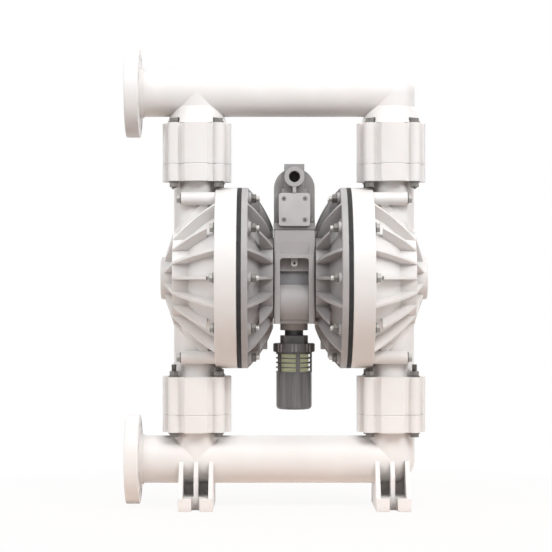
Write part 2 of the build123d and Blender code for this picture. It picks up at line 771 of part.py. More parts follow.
def chamber_fasteners():
    """Bolts, nuts and washers of one disc joint."""
    nut_x = AIR_RIM_X - LUG_T - NUT_H
    bolts, nuts, washers = [], [], []
    for angle in bolt_angles():
        y, z = disc_place(angle, CHAMBER_BOLT_R)
        face = LONG_BOSS_X if is_long(angle) else LIQUID_RIM_X
        to_x = Pos(0, y, SHAFT_Z + z) * Rot(0, 90, 0)
        head = Pos(face + WASHER_T, 0, 0) * (to_x * hexagon(HEX_AF, HEAD_H))
        bolts.append(head + rod_x(BOLT_R, nut_x - CHAMBER_STUD_OUT, face + WASHER_T, y, z))
        nut = Pos(nut_x, 0, 0) * (to_x * hexagon(HEX_AF, NUT_H))
        nuts.append(nut - rod_x(BOLT_R, nut_x, nut_x + NUT_H, y, z))
        washers.append(
            rod_x(WASHER_R, face, face + WASHER_T, y, z) - rod_x(BOLT_R, face, face + WASHER_T, y, z)
        )
    return bolts, nuts, washers


def shaft():
    """Shaft with a stepped stud at each end."""
    shoulder = plate_back_x()
    return rod_x(SHAFT_R, -shoulder, shoulder) + rod_x(STUD_R, -stud_end_x(), stud_end_x())


def plate_back_x():
    """Station of the inner plate's boss, where the shaft's shoulder is."""
    return BEAD_X - MEMBRANE_T / 2 - INNER_BOSS_T


def stud_end_x():
    """Station of the end of the shaft's stud, inside the outer plate."""
    return BEAD_X + MEMBRANE_T / 2 + OUTER_DOME_T / 2


def inner_plate():
    """Plate on the air side, with a boss that bears on the shaft's shoulder."""
    face = BEAD_X - MEMBRANE_T / 2
    return turned_x(
        Polyline(
            (face - INNER_BOSS_T, STUD_R),
            (face - INNER_BOSS_T, INNER_BOSS_R),
            (face - PLATE_T, INNER_BOSS_R + PLATE_T),
            (face - PLATE_T, PLATE_R - PLATE_T / 2),
            (face - PLATE_T / 2, PLATE_R),
            (face, PLATE_R),
            (face, STUD_R),
            close=True,
        )
    )


def outer_plate():
    """Domed plate on the liquid side, screwed on the shaft's stud."""
    face = BEAD_X + MEMBRANE_T / 2
    end = stud_end_x()
    rise = OUTER_DOME_T - OUTER_RIM_T
    sphere_r = (PLATE_R**2 + rise**2) / (2 * rise)
    sphere_x = face + OUTER_DOME_T - sphere_r
    rim = (face + OUTER_RIM_T, PLATE_R)
    middle = (sphere_x + math.sqrt(sphere_r**2 - (PLATE_R / 2) ** 2), PLATE_R / 2)
    crown = (face + OUTER_DOME_T, 0)
    return turned_x(
        Polyline((face, STUD_R), (face, PLATE_R - EDGE), (face + EDGE, PLATE_R), rim),
        ThreePointArc(rim, middle, crown),
        Polyline(crown, (end, 0), (end, STUD_R), (face, STUD_R)),
    )


def diaphragm():
    """Flexible disc: clamped bead, rolling fold and flat middle held by the plates."""
    roll_mid = (PLATE_R + BEAD_IN_R) / 2
    near = BEAD_X - MEMBRANE_T / 2
    far = BEAD_X + MEMBRANE_T / 2
    sheet = turned_x(
        Line((near, STUD_R), (near, PLATE_R + MEMBRANE_T)),
        ThreePointArc(
            (near, PLATE_R + MEMBRANE_T), (near + ROLL_DEPTH, roll_mid), (near, BEAD_IN_R - MEMBRANE_T)
        ),
        Polyline(
            (near, BEAD_IN_R - MEMBRANE_T),
            (AIR_FACE_X, BEAD_IN_R),
            (AIR_FACE_X, DISC_R),
            (LIQUID_FACE_X, DISC_R),
            (LIQUID_FACE_X, BEAD_IN_R),
            (far, BEAD_IN_R - MEMBRANE_T),
        ),
        ThreePointArc(
            (far, BEAD_IN_R - MEMBRANE_T), (far + ROLL_DEPTH, roll_mid), (far, PLATE_R + MEMBRANE_T)
        ),
        Polyline((far, PLATE_R + MEMBRANE_T), (far, STUD_R), (near, STUD_R)),
    )
    for angle in bolt_angles():
        y, z = disc_place(angle, CHAMBER_BOLT_R)
        sheet -= rod_x(BOLT_HOLE_R, AIR_FACE_X, LIQUID_FACE_X, y, z)
    return sheet


def shaft_bush():
    """Bush at the end of the centre block that carries the shaft."""
    return ring_x(SHAFT_R + RUNNING_FIT, BUSH_R, BLOCK_HALF_W - BUSH_L, BLOCK_HALF_W)


def shaft_seal():
    """Seal ring in the air chamber's end wall."""
    return ring_x(SHAFT_R + RUNNING_FIT, SEAL_RING_R, AIR_BACK_X, AIR_BACK_X + SEAL_RING_L)


def rod_half_length():
    """Half length of the pilot rod: a plate just reaches it at the end of the stroke."""
    plate_face = BEAD_X - MEMBRANE_T / 2 - PLATE_T
    return plate_face - STROKE / 2 + ROD_SHIFT - BALL_GAP


def pilot_rod():
    """Rod through the centre block that the plates push from side to side."""
    length = rod_half_length()
    return rod_x(ROD_R, -length, length, z=ROD_RISE)


def pilot_bush():
    """Bush that carries one end of the pilot rod."""
    outer = rod_x(ROD_BUSH_R, BLOCK_HALF_W - ROD_BUSH_L, BLOCK_HALF_W, z=ROD_RISE)
    return outer - rod_x(
        ROD_R + RUNNING_FIT, BLOCK_HALF_W - ROD_BUSH_L, BLOCK_HALF_W, z=ROD_RISE
    )


def centre_block():
    """Cast block with a front window, a round exhaust chamber and the shaft and rod bores."""
    width, depth = 2 * BLOCK_HALF_W, 2 * BLOCK_HALF_D
    section = fillet(Rectangle(width, depth).vertices(), BLOCK_EDGE_R)
    bottom, top = SHAFT_Z - BLOCK_DROP, SHAFT_Z + BLOCK_RISE
    shape = Pos(0, 0, bottom) * extrude(section, top - bottom)
    for side in (-1, 1):
        shape -= window(side) + cast_panel(side)
    bulge = rod_x(BULGE_R, -WINDOW_HALF_W, WINDOW_HALF_W, -BULGE_DEPTH, -BULGE_DROP)
    shape += bulge + rod_x(BULGE_R, -WINDOW_HALF_W, WINDOW_HALF_W, BULGE_DEPTH, -BULGE_DROP)
    shape += rod_z(EXHAUST_BOSS_R, bottom - EXHAUST_BOSS_H, bottom)
    sunk = -BLOCK_HALF_D + WINDOW_DEPTH
    shape += rod_y(TAP_BOSS_R, sunk - TAP_BOSS_L, sunk, z=SHAFT_Z + TAP_RISE)
    shape += block(
        -TAP_BOSS_R, TAP_BOSS_R, sunk - TAP_BOSS_L, sunk, SHAFT_Z + TAP_RISE, SHAFT_Z + WINDOW_TOP
    )
    shape -= rod_y(TAP_HOLE_R, sunk - TAP_BOSS_L, sunk + TAP_BOSS_L, z=SHAFT_Z + TAP_RISE)
    shape -= rod_z(EXHAUST_R, bottom - EXHAUST_BOSS_H, bottom + EXHAUST_H)
    shape -= rod_x(BUSH_R, BLOCK_HALF_W - BUSH_L, BLOCK_HALF_W)
    shape -= rod_x(BUSH_R, -BLOCK_HALF_W, -BLOCK_HALF_W + BUSH_L)
    shape -= rod_x(SHAFT_R + 1, -BLOCK_HALF_W, BLOCK_HALF_W)
    shape -= rod_x(ROD_BUSH_R, BLOCK_HALF_W - ROD_BUSH_L, BLOCK_HALF_W, z=ROD_RISE)
    shape -= rod_x(ROD_BUSH_R, -BLOCK_HALF_W, -BLOCK_HALF_W + ROD_BUSH_L, z=ROD_RISE)
    shape -= rod_x(ROD_HOLE_R, -BLOCK_HALF_W, BLOCK_HALF_W, z=ROD_RISE)
    for y, z in end_screw_places():
        shape -= rod_x(END_SCREW_R, BLOCK_HALF_W - END_SCREW_IN, BLOCK_HALF_W, y, z)
        shape -= rod_x(END_SCREW_R, -BLOCK_HALF_W, -BLOCK_HALF_W + END_SCREW_IN, y, z)
    for x, y in valve_bolt_places():
        shape -= rod_z(VALVE_BOLT_R, top - VALVE_BOLT_IN, top, x, y)
    return shape


def window(side):
    """Recess in the front or back face of the centre block, deeper behind its panel."""
    face = side * BLOCK_HALF_D
    upper = Rectangle(2 * WINDOW_HALF_W, WINDOW_TOP - WINDOW_LEDGE + WINDOW_CORNER_R)
    upper = fillet(upper.vertices().group_by(Axis.Y)[-1], WINDOW_CORNER_R)
    mid_z = (WINDOW_TOP + WINDOW_LEDGE - WINDOW_CORNER_R) / 2
    cut = extrude(Plane.XZ * (Pos(0, mid_z) * upper), side * WINDOW_DEPTH)
    cut = Pos(0, face, SHAFT_Z) * cut
    y0, y1 = sorted((face, face - side * PANEL_DEPTH))
    low = block(
        -WINDOW_HALF_W,
        WINDOW_HALF_W,
        y0,
        y1,
        SHAFT_Z - BLOCK_DROP,
        SHAFT_Z + WINDOW_LEDGE,
    )
    return cut + low


def cast_panel(side):
    """Shallow panel over the window, sunk deeper towards its rounded foot."""
    outline = Rectangle(2 * PANEL_HALF_W, 2 * PANEL_H, align=(Align.CENTER, Align.MIN))
    outline = fillet(outline.vertices().group_by(Axis.Y)[0], PANEL_CORNER_R)
    cut = Rot(-side * PANEL_TILT, 0, 0) * extrude(Plane.XZ * outline, -side * WINDOW_DEPTH)
    sink = PANEL_H * math.sin(math.radians(PANEL_TILT))
    return Pos(0, side * (BLOCK_HALF_D - sink), SHAFT_Z + PANEL_FOOT) * cut


def valve_bolt_places():
    """X and Y of the air valve's base bolts."""
    front = -(VALVE_FRONT + BLOCK_HALF_D) / 2
    back = VALVE_BACK - VALVE_BOLT_HEAD_R - EDGE
    return [(x, y) for x in (-VALVE_BOLT_X, VALVE_BOLT_X) for y in (front, back)]


def valve_floor():
    """Height of the underside of the air valve body."""
    return SHAFT_Z + BLOCK_RISE + VALVE_GASKET_T


def valve_gasket():
    """Gasket between air valve and centre block."""
    low = SHAFT_Z + BLOCK_RISE
    sheet = block(-BLOCK_HALF_W, BLOCK_HALF_W, -BLOCK_HALF_D, VALVE_BACK, low, valve_floor())
    for x, y in valve_bolt_places():
        sheet -= rod_z(VALVE_BOLT_R, low, valve_floor(), x, y)
    return sheet


def valve_body():
    """Arched air valve body with its base flange, inlet boss and cover pad."""
    floor = valve_floor()
    base_top = floor + VALVE_BASE_H
    arch_z = floor + VALVE_ARCH_H + VALVE_BASE_H
    shape = block(-BLOCK_HALF_W, BLOCK_HALF_W, -BLOCK_HALF_D, VALVE_BACK, floor, base_top)
    shape += block(-VALVE_HALF_W, VALVE_HALF_W, -VALVE_FRONT, VALVE_BACK - EDGE, base_top, arch_z)
    shape += rod_y(VALVE_HALF_W, -VALVE_FRONT, VALVE_BACK - EDGE, z=arch_z)
    column = -VALVE_FRONT - VALVE_COLUMN_OUT
    shape += block(
        -VALVE_TOP_HALF_W,
        VALVE_TOP_HALF_W,
        column,
        VALVE_BACK - EDGE,
        arch_z,
        floor + VALVE_BASE_H + VALVE_TOP_H,
    )
    shape += block(-VALVE_COLUMN_HALF_W, VALVE_COLUMN_HALF_W, column, -VALVE_FRONT, base_top, arch_z)
    pad = -VALVE_FRONT - COVER_PAD_OUT
    cover_z = floor + COVER_RISE
    inlet_z = floor + VALVE_BASE_H + INLET_RISE
    shape += block(
        -COVER_HALF_W + EDGE,
        COVER_HALF_W - EDGE,
        pad,
        -VALVE_FRONT,
        base_top,
        cover_z + COVER_H - EDGE,
    )
    shape += block(
        -INLET_RIB_T / 2, INLET_RIB_T / 2, column - INLET_RIB_OUT, column, cover_z + COVER_H - EDGE, inlet_z
    )
    shape += rod_y(INLET_BOSS_R, -VALVE_FRONT - INLET_BOSS_OUT, -VALVE_FRONT, z=inlet_z)
    shape -= rod_y(
        INLET_R, -VALVE_FRONT - INLET_BOSS_OUT, -VALVE_FRONT - INLET_BOSS_OUT + INLET_DEPTH, z=inlet_z
    )
    shape -= rod_z(SLEEVE_R, floor, floor + PLUG_T + SLEEVE_L, y=SPOOL_Y)
    for x, y in valve_bolt_places():
        shape -= rod_z(VALVE_BOLT_R, floor, base_top, x, y)
        shape -= rod_z(VALVE_BOLT_HEAD_R + EDGE, base_top, base_top + VALVE_BOLT_HEAD_H, x, y)
    for x, z in cover_screw_places():
        shape -= rod_y(COVER_SCREW_R, pad, pad + COVER_SCREW_IN, x, z)
    return shape


def valve_bolts():
    """Socket screws through the air valve's base flange."""
    top = valve_floor() + VALVE_BASE_H
    bottom = SHAFT_Z + BLOCK_RISE - VALVE_BOLT_IN
    return [
        rod_z(VALVE_BOLT_R, bottom, top, x, y)
        + rod_z(VALVE_BOLT_HEAD_R, top, top + VALVE_BOLT_HEAD_H, x, y)
        for x, y in valve_bolt_places()
    ]


def cover_screw_places():
    """X and Z of the four cover screws."""
    mid = valve_floor() + COVER_RISE + COVER_H / 2
    return [(i * COVER_SCREW_X, mid + j * COVER_SCREW_Z) for i in (-1, 1) for j in (-1, 1)]


def cover_plate():
    """Front cover with rounded corners and counterbored screw holes."""
    outline = fillet(Rectangle(2 * COVER_HALF_W, COVER_H).vertices(), COVER_CORNER_R)
    mid = valve_floor() + COVER_RISE + COVER_H / 2
    back = -VALVE_FRONT - COVER_PAD_OUT
    plate = Pos(0, back, mid) * extrude(Plane.XZ * outline, COVER_T)
    for x, z in cover_screw_places():
        plate -= rod_y(COVER_SCREW_R, back - COVER_T, back, x, z)
        plate -= rod_y(COVER_SCREW_HEAD_R + SEAT_FIT, back - COVER_T, back - COVER_T + COVER_SCREW_HEAD_H, x, z)
    return plate


def cover_screws():
    """Countersunk into the cover plate, screwed into the pad behind it."""
    back = -VALVE_FRONT - COVER_PAD_OUT
    head = back - COVER_T + COVER_SCREW_HEAD_H
    return [
        rod_y(COVER_SCREW_R, head, back + COVER_SCREW_IN, x, z)
        + rod_y(COVER_SCREW_HEAD_R, head - COVER_SCREW_HEAD_H + EDGE, head, x, z)
        for x, z in cover_screw_places()
    ]


def valve_plug():
    """Plug that closes the bottom of the spool bore."""
    floor = valve_floor()
    return rod_z(SLEEVE_R - SEAT_FIT, floor, floor + PLUG_T, y=SPOOL_Y)


def valve_sleeve():
    """Liner that the spool slides in."""
    low = valve_floor() + PLUG_T
    sleeve = rod_z(SLEEVE_R - SEAT_FIT, low, low + SLEEVE_L, y=SPOOL_Y)
    return sleeve - rod_z(SLEEVE_BORE_R, low, low + SLEEVE_L, y=SPOOL_Y)


def valve_spool():
    """Spool with three lands, at the bottom of its travel."""
    low = valve_floor() + PLUG_T + BALL_GAP
    land = SPOOL_L / 5
    spool = rod_z(SPOOL_NECK_R, low, low + SPOOL_L, y=SPOOL_Y)
    for k in (0, 2, 4):
        spool += rod_z(
            SLEEVE_BORE_R - RUNNING_FIT, low + k * land, low + (k + 1) * land, y=SPOOL_Y
        )
    return spool


def muffler_top():
    """Height of the underside of the exhaust boss."""
    return SHAFT_Z - BLOCK_DROP - EXHAUST_BOSS_H


def muffler_base():
    """Threaded neck, square wrench part and ring that the cage hangs from."""
    top = muffler_top()
    wrench_top = top - MUFFLER_NECK_H
    ring_top = wrench_top - MUFFLER_WRENCH_H
    bottom = ring_top - MUFFLER_RING_H
    shape = rod_z(MUFFLER_NECK_R, wrench_top, top + MUFFLER_NECK_H)
    square = Rectangle(MUFFLER_WRENCH_AF, MUFFLER_WRENCH_AF)
    square = chamfer(square.vertices(), (MUFFLER_WRENCH_AF - MUFFLER_WRENCH_FLAT) / 2)
    shape += Pos(0, 0, ring_top) * extrude(square, MUFFLER_WRENCH_H)
    shape += rod_z(MUFFLER_RING_R, bottom, ring_top)
    shape -= rod_z(MUFFLER_NECK_R - CAGE_WALL, ring_top - CAGE_WALL, top + MUFFLER_NECK_H)
    return shape - rod_z(ELEMENT_R, bottom, ring_top - CAGE_WALL)


def cage_top_z():
    """Height of the top of the slotted cage."""
    return muffler_top() - MUFFLER_NECK_H - MUFFLER_WRENCH_H - MUFFLER_RING_H


def muffler_cage():
    """Slotted tube around the element."""
    top = cage_top_z()
    shape = rod_z(CAGE_OUT_R, top - CAGE_H, top) - rod_z(CAGE_OUT_R - CAGE_WALL, top - CAGE_H, top)
    for row in range(SLOT_ROWS):
        z = top - SLOT_FIRST - row * SLOT_PITCH
        cut = rod_z(CAGE_OUT_R + 1, z - SLOT_H / 2, z + SLOT_H / 2)
        for k in range(SLOT_COLUMNS):
            bar = Pos(CAGE_OUT_R, 0, z) * Box(2 * CAGE_WALL + 4, SLOT_BAR, SLOT_H + 1)
            cut -= Rot(0, 0, SLOT_BAR_FIRST + k * 360 / SLOT_COLUMNS) * bar
        shape -= cut
    return shape


def muffler_element():
    """Sintered sleeve inside the cage and cup."""
    top = cage_top_z() + MUFFLER_RING_H - CAGE_WALL
    bottom = cage_top_z() - CAGE_H - CUP_H + CUP_WALL
    tube = rod_z(ELEMENT_R - SEAT_FIT, bottom, top)
    return tube - rod_z(ELEMENT_R - ELEMENT_WALL, bottom, top)


def muffler_cup():
    """Cup that closes the muffler below the slots."""
    top = cage_top_z() - CAGE_H
    bottom = top - CUP_H
    shape = rod_z(CUP_R, bottom, top)
    shape = fillet(shape.edges().group_by(Axis.Z)[0], CUP_EDGE_R)
    return shape - rod_z(CUP_R - CUP_WALL, bottom + CUP_WALL, top)


def both(shapes):
    """The +X pieces followed by their mirror images."""
    return shapes + [mirrored(shape) for shape in shapes]


def save(name, *shapes):
    """Write one node: its solids, each kept separate."""
    solids = [solid for shape in shapes for solid in shape.solids()]
    node = solids[0] if len(solids) == 1 else Compound(children=solids)
    export_step(node, os.path.join("parts", name + ".step"))


def save_pair(name, shape):
    """Write a side piece as a right and a left node."""
    save("right_" + name, shape)
    save("left_" + name, mirrored(shape))


def main():
    """Build every piece and write it."""
    os.makedirs("parts", exist_ok=True)
    save("lower_manifold", lower_manifold())
    save("upper_manifold", upper_manifold())
    save_pair("liquid_chamber", liquid_chamber())
    save_pair("air_chamber", air_chamber())
    save_pair("air_chamber_gasket", air_gasket())
    save("air_chamber_screws", *both(end_screws()))

    for level, joint in (("lower", LOWER_JOINT_Z), ("upper", UPPER_JOINT_Z)):
        save_pair(level + "_seat", seat_ring(joint))
        save_pair(level + "_ball", ball(joint))
    save("seat_seal_rings", *both([seal_ring(LOWER_JOINT_Z), seal_ring(UPPER_JOINT_Z)]))

    lower = pod_fasteners(
        LOWER_JOINT_Z - POD_FLANGE_T,
        LOWER_JOINT_Z + LOWER_CAGE_H,
        POD_STUD_OUT_UNDER_DISC,
        POD_STUD_OUT_LOWER,
    )
    upper = pod_fasteners(
        UPPER_JOINT_Z + UPPER_CAGE_H, UPPER_JOINT_Z - POD_FLANGE_T, POD_STUD_OUT, POD_STUD_OUT
    )
    for level, groups in (("lower", lower), ("upper", upper)):
        for kind, solids in zip(("bolts", "nuts", "washers"), groups):
            save(level + "_pod_" + kind, *both(solids))
    for kind, solids in zip(("bolts", "nuts", "washers"), chamber_fasteners()):
        save("right_chamber_" + kind, *solids)
        save("left_chamber_" + kind, *[mirrored(solid) for solid in solids])

    save("shaft", shaft())
    save_pair("inner_plate", inner_plate())
    save_pair("outer_plate", outer_plate())
    save_pair("diaphragm", diaphragm())
    save("shaft_bushes", *both([shaft_bush()]))
    save("shaft_seals", *both([shaft_seal()]))
    save("pilot_rod", pilot_rod())
    save("pilot_rod_bushes", *both([pilot_bush()]))

    save("centre_block", centre_block())
    save("air_valve_gasket", valve_gasket())
    save("air_valve_body", valve_body())
    save("air_valve_bolts", *valve_bolts())
    save("valve_cover_plate", cover_plate())
    save("valve_cover_screws", *cover_screws())
    save("valve_plug", valve_plug())
    save("valve_sleeve", valve_sleeve())
    save("valve_spool", valve_spool())

    save("muffler_base", muffler_base())
    save("muffler_cage", muffler_cage())
    save("muffler_element", muffler_element())
    save("muffler_cup", muffler_cup())


main()
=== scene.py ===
# %% [markdown]
# # Air operated double diaphragm pump
# The pump's real parts come as a fixed frame of solids: manifolds, chambers, centre block, air
# valve, muffler and everything inside. This notebook gives them their finishes and adds what is
# too fine for the solids, such as threads, chamfers and screw sockets, and it cuts the rubber
# diaphragms into sectors.
# Everything is in metres, +Z is up, and the front with the air inlet faces -Y.

import json
import math

import bpy
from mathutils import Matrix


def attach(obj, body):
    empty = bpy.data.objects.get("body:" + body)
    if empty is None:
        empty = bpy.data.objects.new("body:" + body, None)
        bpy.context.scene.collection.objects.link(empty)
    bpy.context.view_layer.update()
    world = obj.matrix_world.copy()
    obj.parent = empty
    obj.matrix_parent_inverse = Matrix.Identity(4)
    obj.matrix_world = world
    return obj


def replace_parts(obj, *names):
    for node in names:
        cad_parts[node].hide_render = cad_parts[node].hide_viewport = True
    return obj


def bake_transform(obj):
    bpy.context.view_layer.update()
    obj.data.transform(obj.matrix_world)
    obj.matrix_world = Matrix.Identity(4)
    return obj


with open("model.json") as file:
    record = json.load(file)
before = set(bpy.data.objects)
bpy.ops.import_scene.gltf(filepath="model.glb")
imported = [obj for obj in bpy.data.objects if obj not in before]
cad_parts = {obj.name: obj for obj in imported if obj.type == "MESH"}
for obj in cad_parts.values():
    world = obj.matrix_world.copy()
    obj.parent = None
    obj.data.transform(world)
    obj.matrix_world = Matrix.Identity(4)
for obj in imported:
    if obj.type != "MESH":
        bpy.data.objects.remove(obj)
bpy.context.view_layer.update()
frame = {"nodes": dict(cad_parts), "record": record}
nodes = frame["nodes"]

# %% [markdown]
# ## Camera
# The picture was taken with a long lens, level, from a little to the left of the pump's middle:
# the insides of both discs show about equally, and so does the front edge of the port flanges.
# A level camera with a small lens shift keeps the columns upright, which a tilted one would not.

# %% Camera
CAMERA_PLACE = (-0.0496, -4.58, 0.5105)
CAMERA_LENS = 132.4
CAMERA_SHIFT = 0.00725

camera_data = bpy.data.cameras.new("camera")
camera_data.lens = CAMERA_LENS
camera_data.sensor_width = 36.0
camera_data.shift_x = CAMERA_SHIFT
camera_data.shift_y = CAMERA_SHIFT
camera_data.clip_end = 50.0
camera = bpy.data.objects.new("camera", camera_data)
camera.location = CAMERA_PLACE
camera.rotation_euler = (math.radians(90), 0, 0)
bpy.context.scene.collection.objects.link(camera)
bpy.context.scene.camera = camera
print("camera at", CAMERA_PLACE, "with a lens of", CAMERA_LENS, "mm")

# %% [markdown]
# ## Room
# The pump stands on a plain pale floor in an even studio. The floor and the world show as white
# to the camera, to metal and to glass, while the light that they send to the pump stays
# moderate, so the white plastic keeps its shading. More lamps would whiten the floor too, but
# they would bleach the plastic with it. Close to the pump a small share of the floor's own shader
# stays in the mix, and that share keeps the soft shadow under the feet.

# %% White to the camera


def combine(tree, operation, first, second):
    """Math node over a value and a second value or number."""
    node = tree.nodes.new("ShaderNodeMath")
    node.operation = operation
    tree.links.new(first, node.inputs[0])
    if isinstance(second, float):
        node.inputs[1].default_value = second
    else:
        tree.links.new(second, node.inputs[1])
    return node.outputs[0]


def white_to_camera(tree, surface, shader, kind, share=1.0):
    """Show pure white to camera, glossy and see-through rays, and the shader to all others.

    A share below 1 mixes some of the shader into the white, which keeps a soft shadow.
    """
    rays = tree.nodes.new("ShaderNodeLightPath").outputs
    mirrored = combine(tree, "MAXIMUM", rays["Is Glossy Ray"], rays["Is Transmission Ray"])
    seen = combine(tree, "MAXIMUM", rays["Is Camera Ray"], mirrored)
    white = tree.nodes.new(kind)
    white.inputs["Strength"].default_value = 1.0
    white.inputs["Color"].default_value = (1, 1, 1, 1)
    mix = tree.nodes.new("ShaderNodeMixShader")
    tree.links.new(combine(tree, "MULTIPLY", seen, share), mix.inputs["Fac"])
    tree.links.new(shader.outputs[0], mix.inputs[1])
    tree.links.new(white.outputs[0], mix.inputs[2])
    tree.links.new(mix.outputs[0], surface)


# %% [markdown]
# ## Floor
# Light that bounces off the floor tints the undersides of the pump. Here a warm, pale round sheet
# lies under the pump and fades to a dark floor around it, which gives the white plastic its warm
# underside without a bright glow from all round. A spherical gradient over the floor's own
# coordinates makes the round fade with one node.

# %% Floor plane
FLOOR_HALF = 6.0

bpy.ops.object.select_all(action="DESELECT")
bpy.ops.mesh.primitive_plane_add(size=2 * FLOOR_HALF, location=(0, 0, 0))
floor = bpy.context.object
floor.name = "floor"
print("floor side:", 2 * FLOOR_HALF, "m")

# %% Tones and ranges


def two_tones(tree, value, first_tone, second_tone, start=0.3, end=0.7):
    """Colour that goes from one tone to another while a value rises from start to end."""
    ramp = tree.nodes.new("ShaderNodeValToRGB")
    stops = ((start, first_tone), (end, second_tone))
    for element, (position, tone) in zip(ramp.color_ramp.elements, stops):
        element.position = position
        element.color = (*tone, 1)
    tree.links.new(value, ramp.inputs["Fac"])
    return ramp.outputs["Color"]


def spread(tree, value, low, high):
    """Value stretched from the range of 0 to 1 to the range of low to high."""
    node = tree.nodes.new("ShaderNodeMapRange")
    node.inputs["To Min"].default_value = low
    node.inputs["To Max"].default_value = high
    tree.links.new(value, node.inputs["Value"])
    return node.outputs["Result"]


# %% Floor finish
SHEET_REACH = 1.1
SHEET_EDGE = 0.35
SHEET_TONE = (0.84, 0.695, 0.61)
FLOOR_TONE = (0.13, 0.095, 0.085)
WHITE_SHARE_AT_PUMP = 0.9

floor_material = bpy.data.materials.new("studio_floor")
floor_material.use_nodes = True
floor_tree = floor_material.node_tree
floor_shader = floor_tree.nodes["Principled BSDF"]
floor_shader.inputs["Roughness"].default_value = 0.9
floor_shader.inputs["Specular IOR Level"].default_value = 0.0
floor_place = floor_tree.nodes.new("ShaderNodeTexCoord")
floor_scale = floor_tree.nodes.new("ShaderNodeMapping")
floor_scale.inputs["Scale"].default_value = (1 / SHEET_REACH, 1 / SHEET_REACH, 1)
sheet = floor_tree.nodes.new("ShaderNodeTexGradient")
sheet.gradient_type = "SPHERICAL"
floor_tree.links.new(floor_place.outputs["Object"], floor_scale.inputs["Vector"])
floor_tree.links.new(floor_scale.outputs["Vector"], sheet.inputs["Vector"])
nearness = sheet.outputs["Fac"]
floor_colour = two_tones(floor_tree, nearness, FLOOR_TONE, SHEET_TONE, start=0.0, end=SHEET_EDGE)
floor_tree.links.new(floor_colour, floor_shader.inputs["Base Color"])
floor_end = floor_tree.nodes["Material Output"].inputs["Surface"]
white_share = spread(floor_tree, nearness, 1.0, WHITE_SHARE_AT_PUMP)
white_to_camera(floor_tree, floor_end, floor_shader, "ShaderNodeEmission", white_share)
floor.data.materials.append(floor_material)
print("floor nodes:", len(floor_tree.nodes))

# %% World
WORLD_STRENGTH = 0.15
WORLD_TONE = (0.98, 0.985, 1.0)

world = bpy.data.worlds.new("studio")
world.use_nodes = True
bpy.context.scene.world = world
world_tree = world.node_tree
ambient = world_tree.nodes["Background"]
ambient.inputs["Color"].default_value = (*WORLD_TONE, 1)
ambient.inputs["Strength"].default_value = WORLD_STRENGTH
world_end = world_tree.nodes["World Output"].inputs["Surface"]
white_to_camera(world_tree, world_end, ambient, "ShaderNodeBackground")
print("world strength:", WORLD_STRENGTH)

# %% [markdown]
# ## Lamps
# In the picture the light comes softly from both sides and above, a little stronger from the
# right, and no shadow has a hard edge. Large softboxes give such light. Two keys in front shape
# the domes, a fill and a top light open the shadows, and four weaker lamps at the sides and the
# back keep the far sides of the pump from turning black when it is seen from there.

# %% Lamps
LAMP_AIM = (0, 0, 0.5)
LAMPS = {
    "right_key": {"place": (1.8, -2.6, 2.8), "size": (1.4, 1.4), "watts": 86},
    "left_key": {"place": (-1.8, -2.6, 2.8), "size": (1.4, 1.4), "watts": 41},
    "front_fill": {"place": (0.0, -2.4, 3.4), "size": (1.6, 1.2), "watts": 18},
    "top_light": {"place": (0.0, 0.1, 3.2), "size": (2.4, 1.6), "watts": 15},
    "left_side": {"place": (-2.8, -0.9, 0.9), "size": (1.4, 1.4), "watts": 22},
    "right_side": {"place": (2.8, -0.9, 0.9), "size": (1.4, 1.4), "watts": 16},
    "back_left": {"place": (-1.8, 2.8, 2.6), "size": (1.6, 1.6), "watts": 32},
    "back_right": {"place": (1.8, 2.8, 2.6), "size": (1.6, 1.6), "watts": 23},
}


def softbox(name, place, size, watts):
    """Rectangular area lamp that faces the middle of the pump."""
    data = bpy.data.lights.new(name, "AREA")
    data.shape = "RECTANGLE"
    data.size, data.size_y = size
    data.energy = watts
    lamp = bpy.data.objects.new(name, data)
    lamp.location = place
    x, y, z = (a - p for a, p in zip(LAMP_AIM, place))
    lamp.rotation_euler = (math.atan2(math.hypot(x, y), -z), 0, math.atan2(y, x) - math.pi / 2)
    bpy.context.scene.collection.objects.link(lamp)


for name, lamp in LAMPS.items():
    softbox(name, **lamp)
bpy.context.scene.view_settings.view_transform = "Standard"
print("lamps:", len(LAMPS), "watts:", sum(lamp["watts"] for lamp in LAMPS.values()))

# %% [markdown]
# ## White polypropylene
# The manifolds and liquid chambers are moulded in natural white polypropylene. It is slightly
# translucent and a little warm, with a soft satin gloss. A flat white would look like paint, so
# the colour drifts slowly over the surface, faint flow marks vary the gloss, and a fine grain
# with softened edges breaks up the highlights. Corners are darkened a little as painted shade.

# %% Material and noise


def new_material(name, base, roughness, **extra):
    """Principled material with its constants set on the shader's own sockets."""
    material = bpy.data.materials.new(name)
    material.use_nodes = True
    shader = material.node_tree.nodes["Principled BSDF"]
    shader.inputs["Base Color"].default_value = (*base, 1)
    shader.inputs["Roughness"].default_value = roughness
    for socket, value in extra.items():
        shader.inputs[socket.replace("_", " ")].default_value = value
    print("material:", name)
    return material, material.node_tree, shader


def add_noise(tree, scale, detail, stretch=(1, 1, 1)):
    """Noise over Object coordinates, at a scale in features per metre."""
    place = tree.nodes.new("ShaderNodeTexCoord")
    mapping = tree.nodes.new("ShaderNodeMapping")
    mapping.inputs["Scale"].default_value = stretch
    noise = tree.nodes.new("ShaderNodeTexNoise")
    noise.inputs["Scale"].default_value = scale
    noise.inputs["Detail"].default_value = detail
    tree.links.new(place.outputs["Object"], mapping.inputs["Vector"])
    tree.links.new(mapping.outputs["Vector"], noise.inputs["Vector"])
    return noise.outputs["Fac"]


# %% Bump, creases and gloss
BEVEL_SAMPLES = 6
CREASE_SAMPLES = 8
CREASE_START = 0.08
CREASE_END = 0.68


